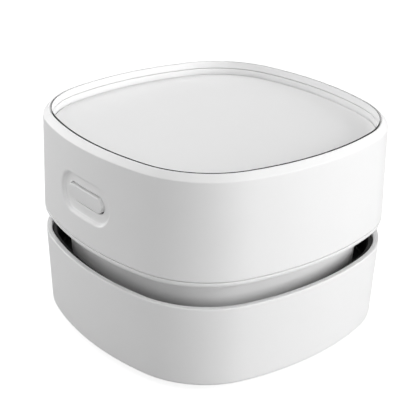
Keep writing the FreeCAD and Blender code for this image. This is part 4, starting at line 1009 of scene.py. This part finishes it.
def even_light(studio):
    """A world that is white to the camera and in reflections, and lights the object evenly."""
    world = bpy.data.worlds.new("even_light")
    world.use_nodes = True
    tree = world.node_tree
    tree.nodes.clear()
    path = node(tree, "LightPath")
    mirrored = node(tree, "Math", {0: path.outputs["Is Camera Ray"],
                                   1: path.outputs["Is Glossy Ray"]}, operation="MAXIMUM")
    through = node(tree, "Math", {0: mirrored.outputs[0],
                                  1: path.outputs["Is Transmission Ray"]}, operation="MAXIMUM")
    way = node(tree, "TexCoord").outputs["Generated"]
    rise = node(tree, "SeparateXYZ", {0: way}).outputs["Z"]
    fade = node(tree, "MapRange", {
        "Value": rise, "From Min": 0.25, "From Max": 0.75, "To Min": studio.horizon,
        "To Max": studio.zenith}, interpolation_type="SMOOTHSTEP")
    dim = node(tree, "Background", {"Color": WHITE, "Strength": fade.outputs["Result"]})
    white = node(tree, "Background", {"Color": WHITE, "Strength": 1.0})
    mixed = node(tree, "MixShader", {0: through.outputs[0], 1: dim.outputs[0],
                                     2: white.outputs[0]})
    node(tree, "OutputWorld", {"Surface": mixed.outputs[0]})
    return world


def lamp(scene, name, around, up, distance, wide, high, watts):
    """A lamp that faces the object, at angles round and above it."""
    light = bpy.data.lights.new(name, "AREA")
    light.shape, light.size, light.size_y, light.energy = "RECTANGLE", wide, high, watts
    made = bpy.data.objects.new(name, light)
    around, up = math.radians(around), math.radians(up)
    away = Vector((math.cos(around) * math.cos(up), math.sin(around) * math.cos(up),
                   math.sin(up)))
    made.location = AIM + away * distance
    made.rotation_euler = (-away).to_track_quat("-Z", "Y").to_euler()
    scene.collection.objects.link(made)


def place_camera(scene, studio):
    """The camera in front of the near corner, turned a little about its own axis."""
    camera = bpy.data.cameras.new("camera")
    camera.lens, camera.sensor_width, camera.sensor_fit = studio.focal, 36, "HORIZONTAL"
    camera.clip_start = 0.01
    made = bpy.data.objects.new("camera", camera)
    ahead = Vector((-0.69710, 0.57759, -0.42478)).normalized()
    right = ahead.cross(Vector((0, 0, 1))).normalized()
    up = right.cross(ahead)
    rolled_up = up * math.cos(studio.roll) - right * math.sin(studio.roll)
    rolled_right = right * math.cos(studio.roll) + up * math.sin(studio.roll)
    turn = Matrix((rolled_right, rolled_up, -ahead)).transposed().to_4x4()
    made.matrix_world = Matrix.Translation((0.1957, -0.1637, 0.1492)) @ turn
    scene.collection.objects.link(made)
    scene.camera = made


class DESKVAC_OT_studio(Operator):
    """Set up the floor, the lamps, the world and the camera"""
    bl_idname = "deskvac.studio"
    bl_label = "Studio"

    def execute(self, context):
        scene, studio = context.scene, context.scene.desk_vacuum_studio
        # The floor lies just below the feet, so that it doesn't share their plane.
        reach, level = 3.0, -0.05 * MM
        corners = [(-reach, -reach, level), (reach, -reach, level), (reach, reach, level),
                   (-reach, reach, level)]
        mesh = bpy.data.meshes.new("floor")
        mesh.from_pydata(corners, [], [(0, 1, 2, 3)])
        mesh.materials.append(white_sweep(studio))
        floor = bpy.data.objects.new("floor", mesh)
        scene.collection.objects.link(floor)

        scene.world = even_light(studio)
        # Angles round and up in degrees, then distance, width and height in metres.
        for name, *lie in (
                ("key", 38, 15, 1.0, 0.9, 0.6), ("low", -50, 20, 1.0, 1.2, 0.75),
                ("left", -160, 6, 1.0, 0.5, 0.25), ("near", -140, 36, 0.4, 0.25, 0.25),
                ("high", 20, 38, 1.0, 0.6, 0.3), ("back", 165, 60, 0.42, 0.25, 0.25)):
            lamp(scene, f"{name}_lamp", *lie, getattr(studio, f"{name}_power"))
        place_camera(scene, studio)
        scene.view_settings.view_transform = "Standard"
        return {"FINISHED"}


class DESKVAC_PT_pieces(Panel):
    """The pieces of the vacuum cleaner and their sizes"""
    bl_idname = "DESKVAC_PT_pieces"
    bl_label = "Desk Vacuum"
    bl_space_type = "VIEW_3D"
    bl_region_type = "UI"
    bl_category = "Desk Vacuum"

    def draw(self, context):
        layout = self.layout
        for group in GROUPS:
            box = layout.box()
            settings = getattr(context.scene, group)
            for name in settings.bl_rna.properties.keys():
                if name not in ("rna_type", "name"):
                    box.prop(settings, name)
        for step in STEPS:
            layout.operator(step.bl_idname)


GROUPS = {
    "desk_vacuum_casing": CasingSizes,
    "desk_vacuum_button": ButtonSizes,
    "desk_vacuum_colours": Colours,
    "desk_vacuum_studio": Studio,
}
STEPS = (
    DESKVAC_OT_studio, DESKVAC_OT_dust_cup, DESKVAC_OT_feet_and_brush, DESKVAC_OT_filter_tray,
    DESKVAC_OT_neck, DESKVAC_OT_bottom_cover, DESKVAC_OT_housing, DESKVAC_OT_top_panel,
    DESKVAC_OT_button, DESKVAC_OT_carried_parts,
)
CLASSES = (*GROUPS.values(), *STEPS, DESKVAC_PT_pieces)


def register():
    for each in CLASSES:
        bpy.utils.register_class(each)
    for name, group in GROUPS.items():
        setattr(bpy.types.Scene, name, PointerProperty(type=group))


def unregister():
    for name in GROUPS:
        delattr(bpy.types.Scene, name)
    for each in reversed(CLASSES):
        bpy.utils.unregister_class(each)


def main():
    register()
    for step in STEPS:
        call = bpy.ops
        for part in step.bl_idname.split("."):
            call = getattr(call, part)
        call()


if __name__ == "__main__":
    main()
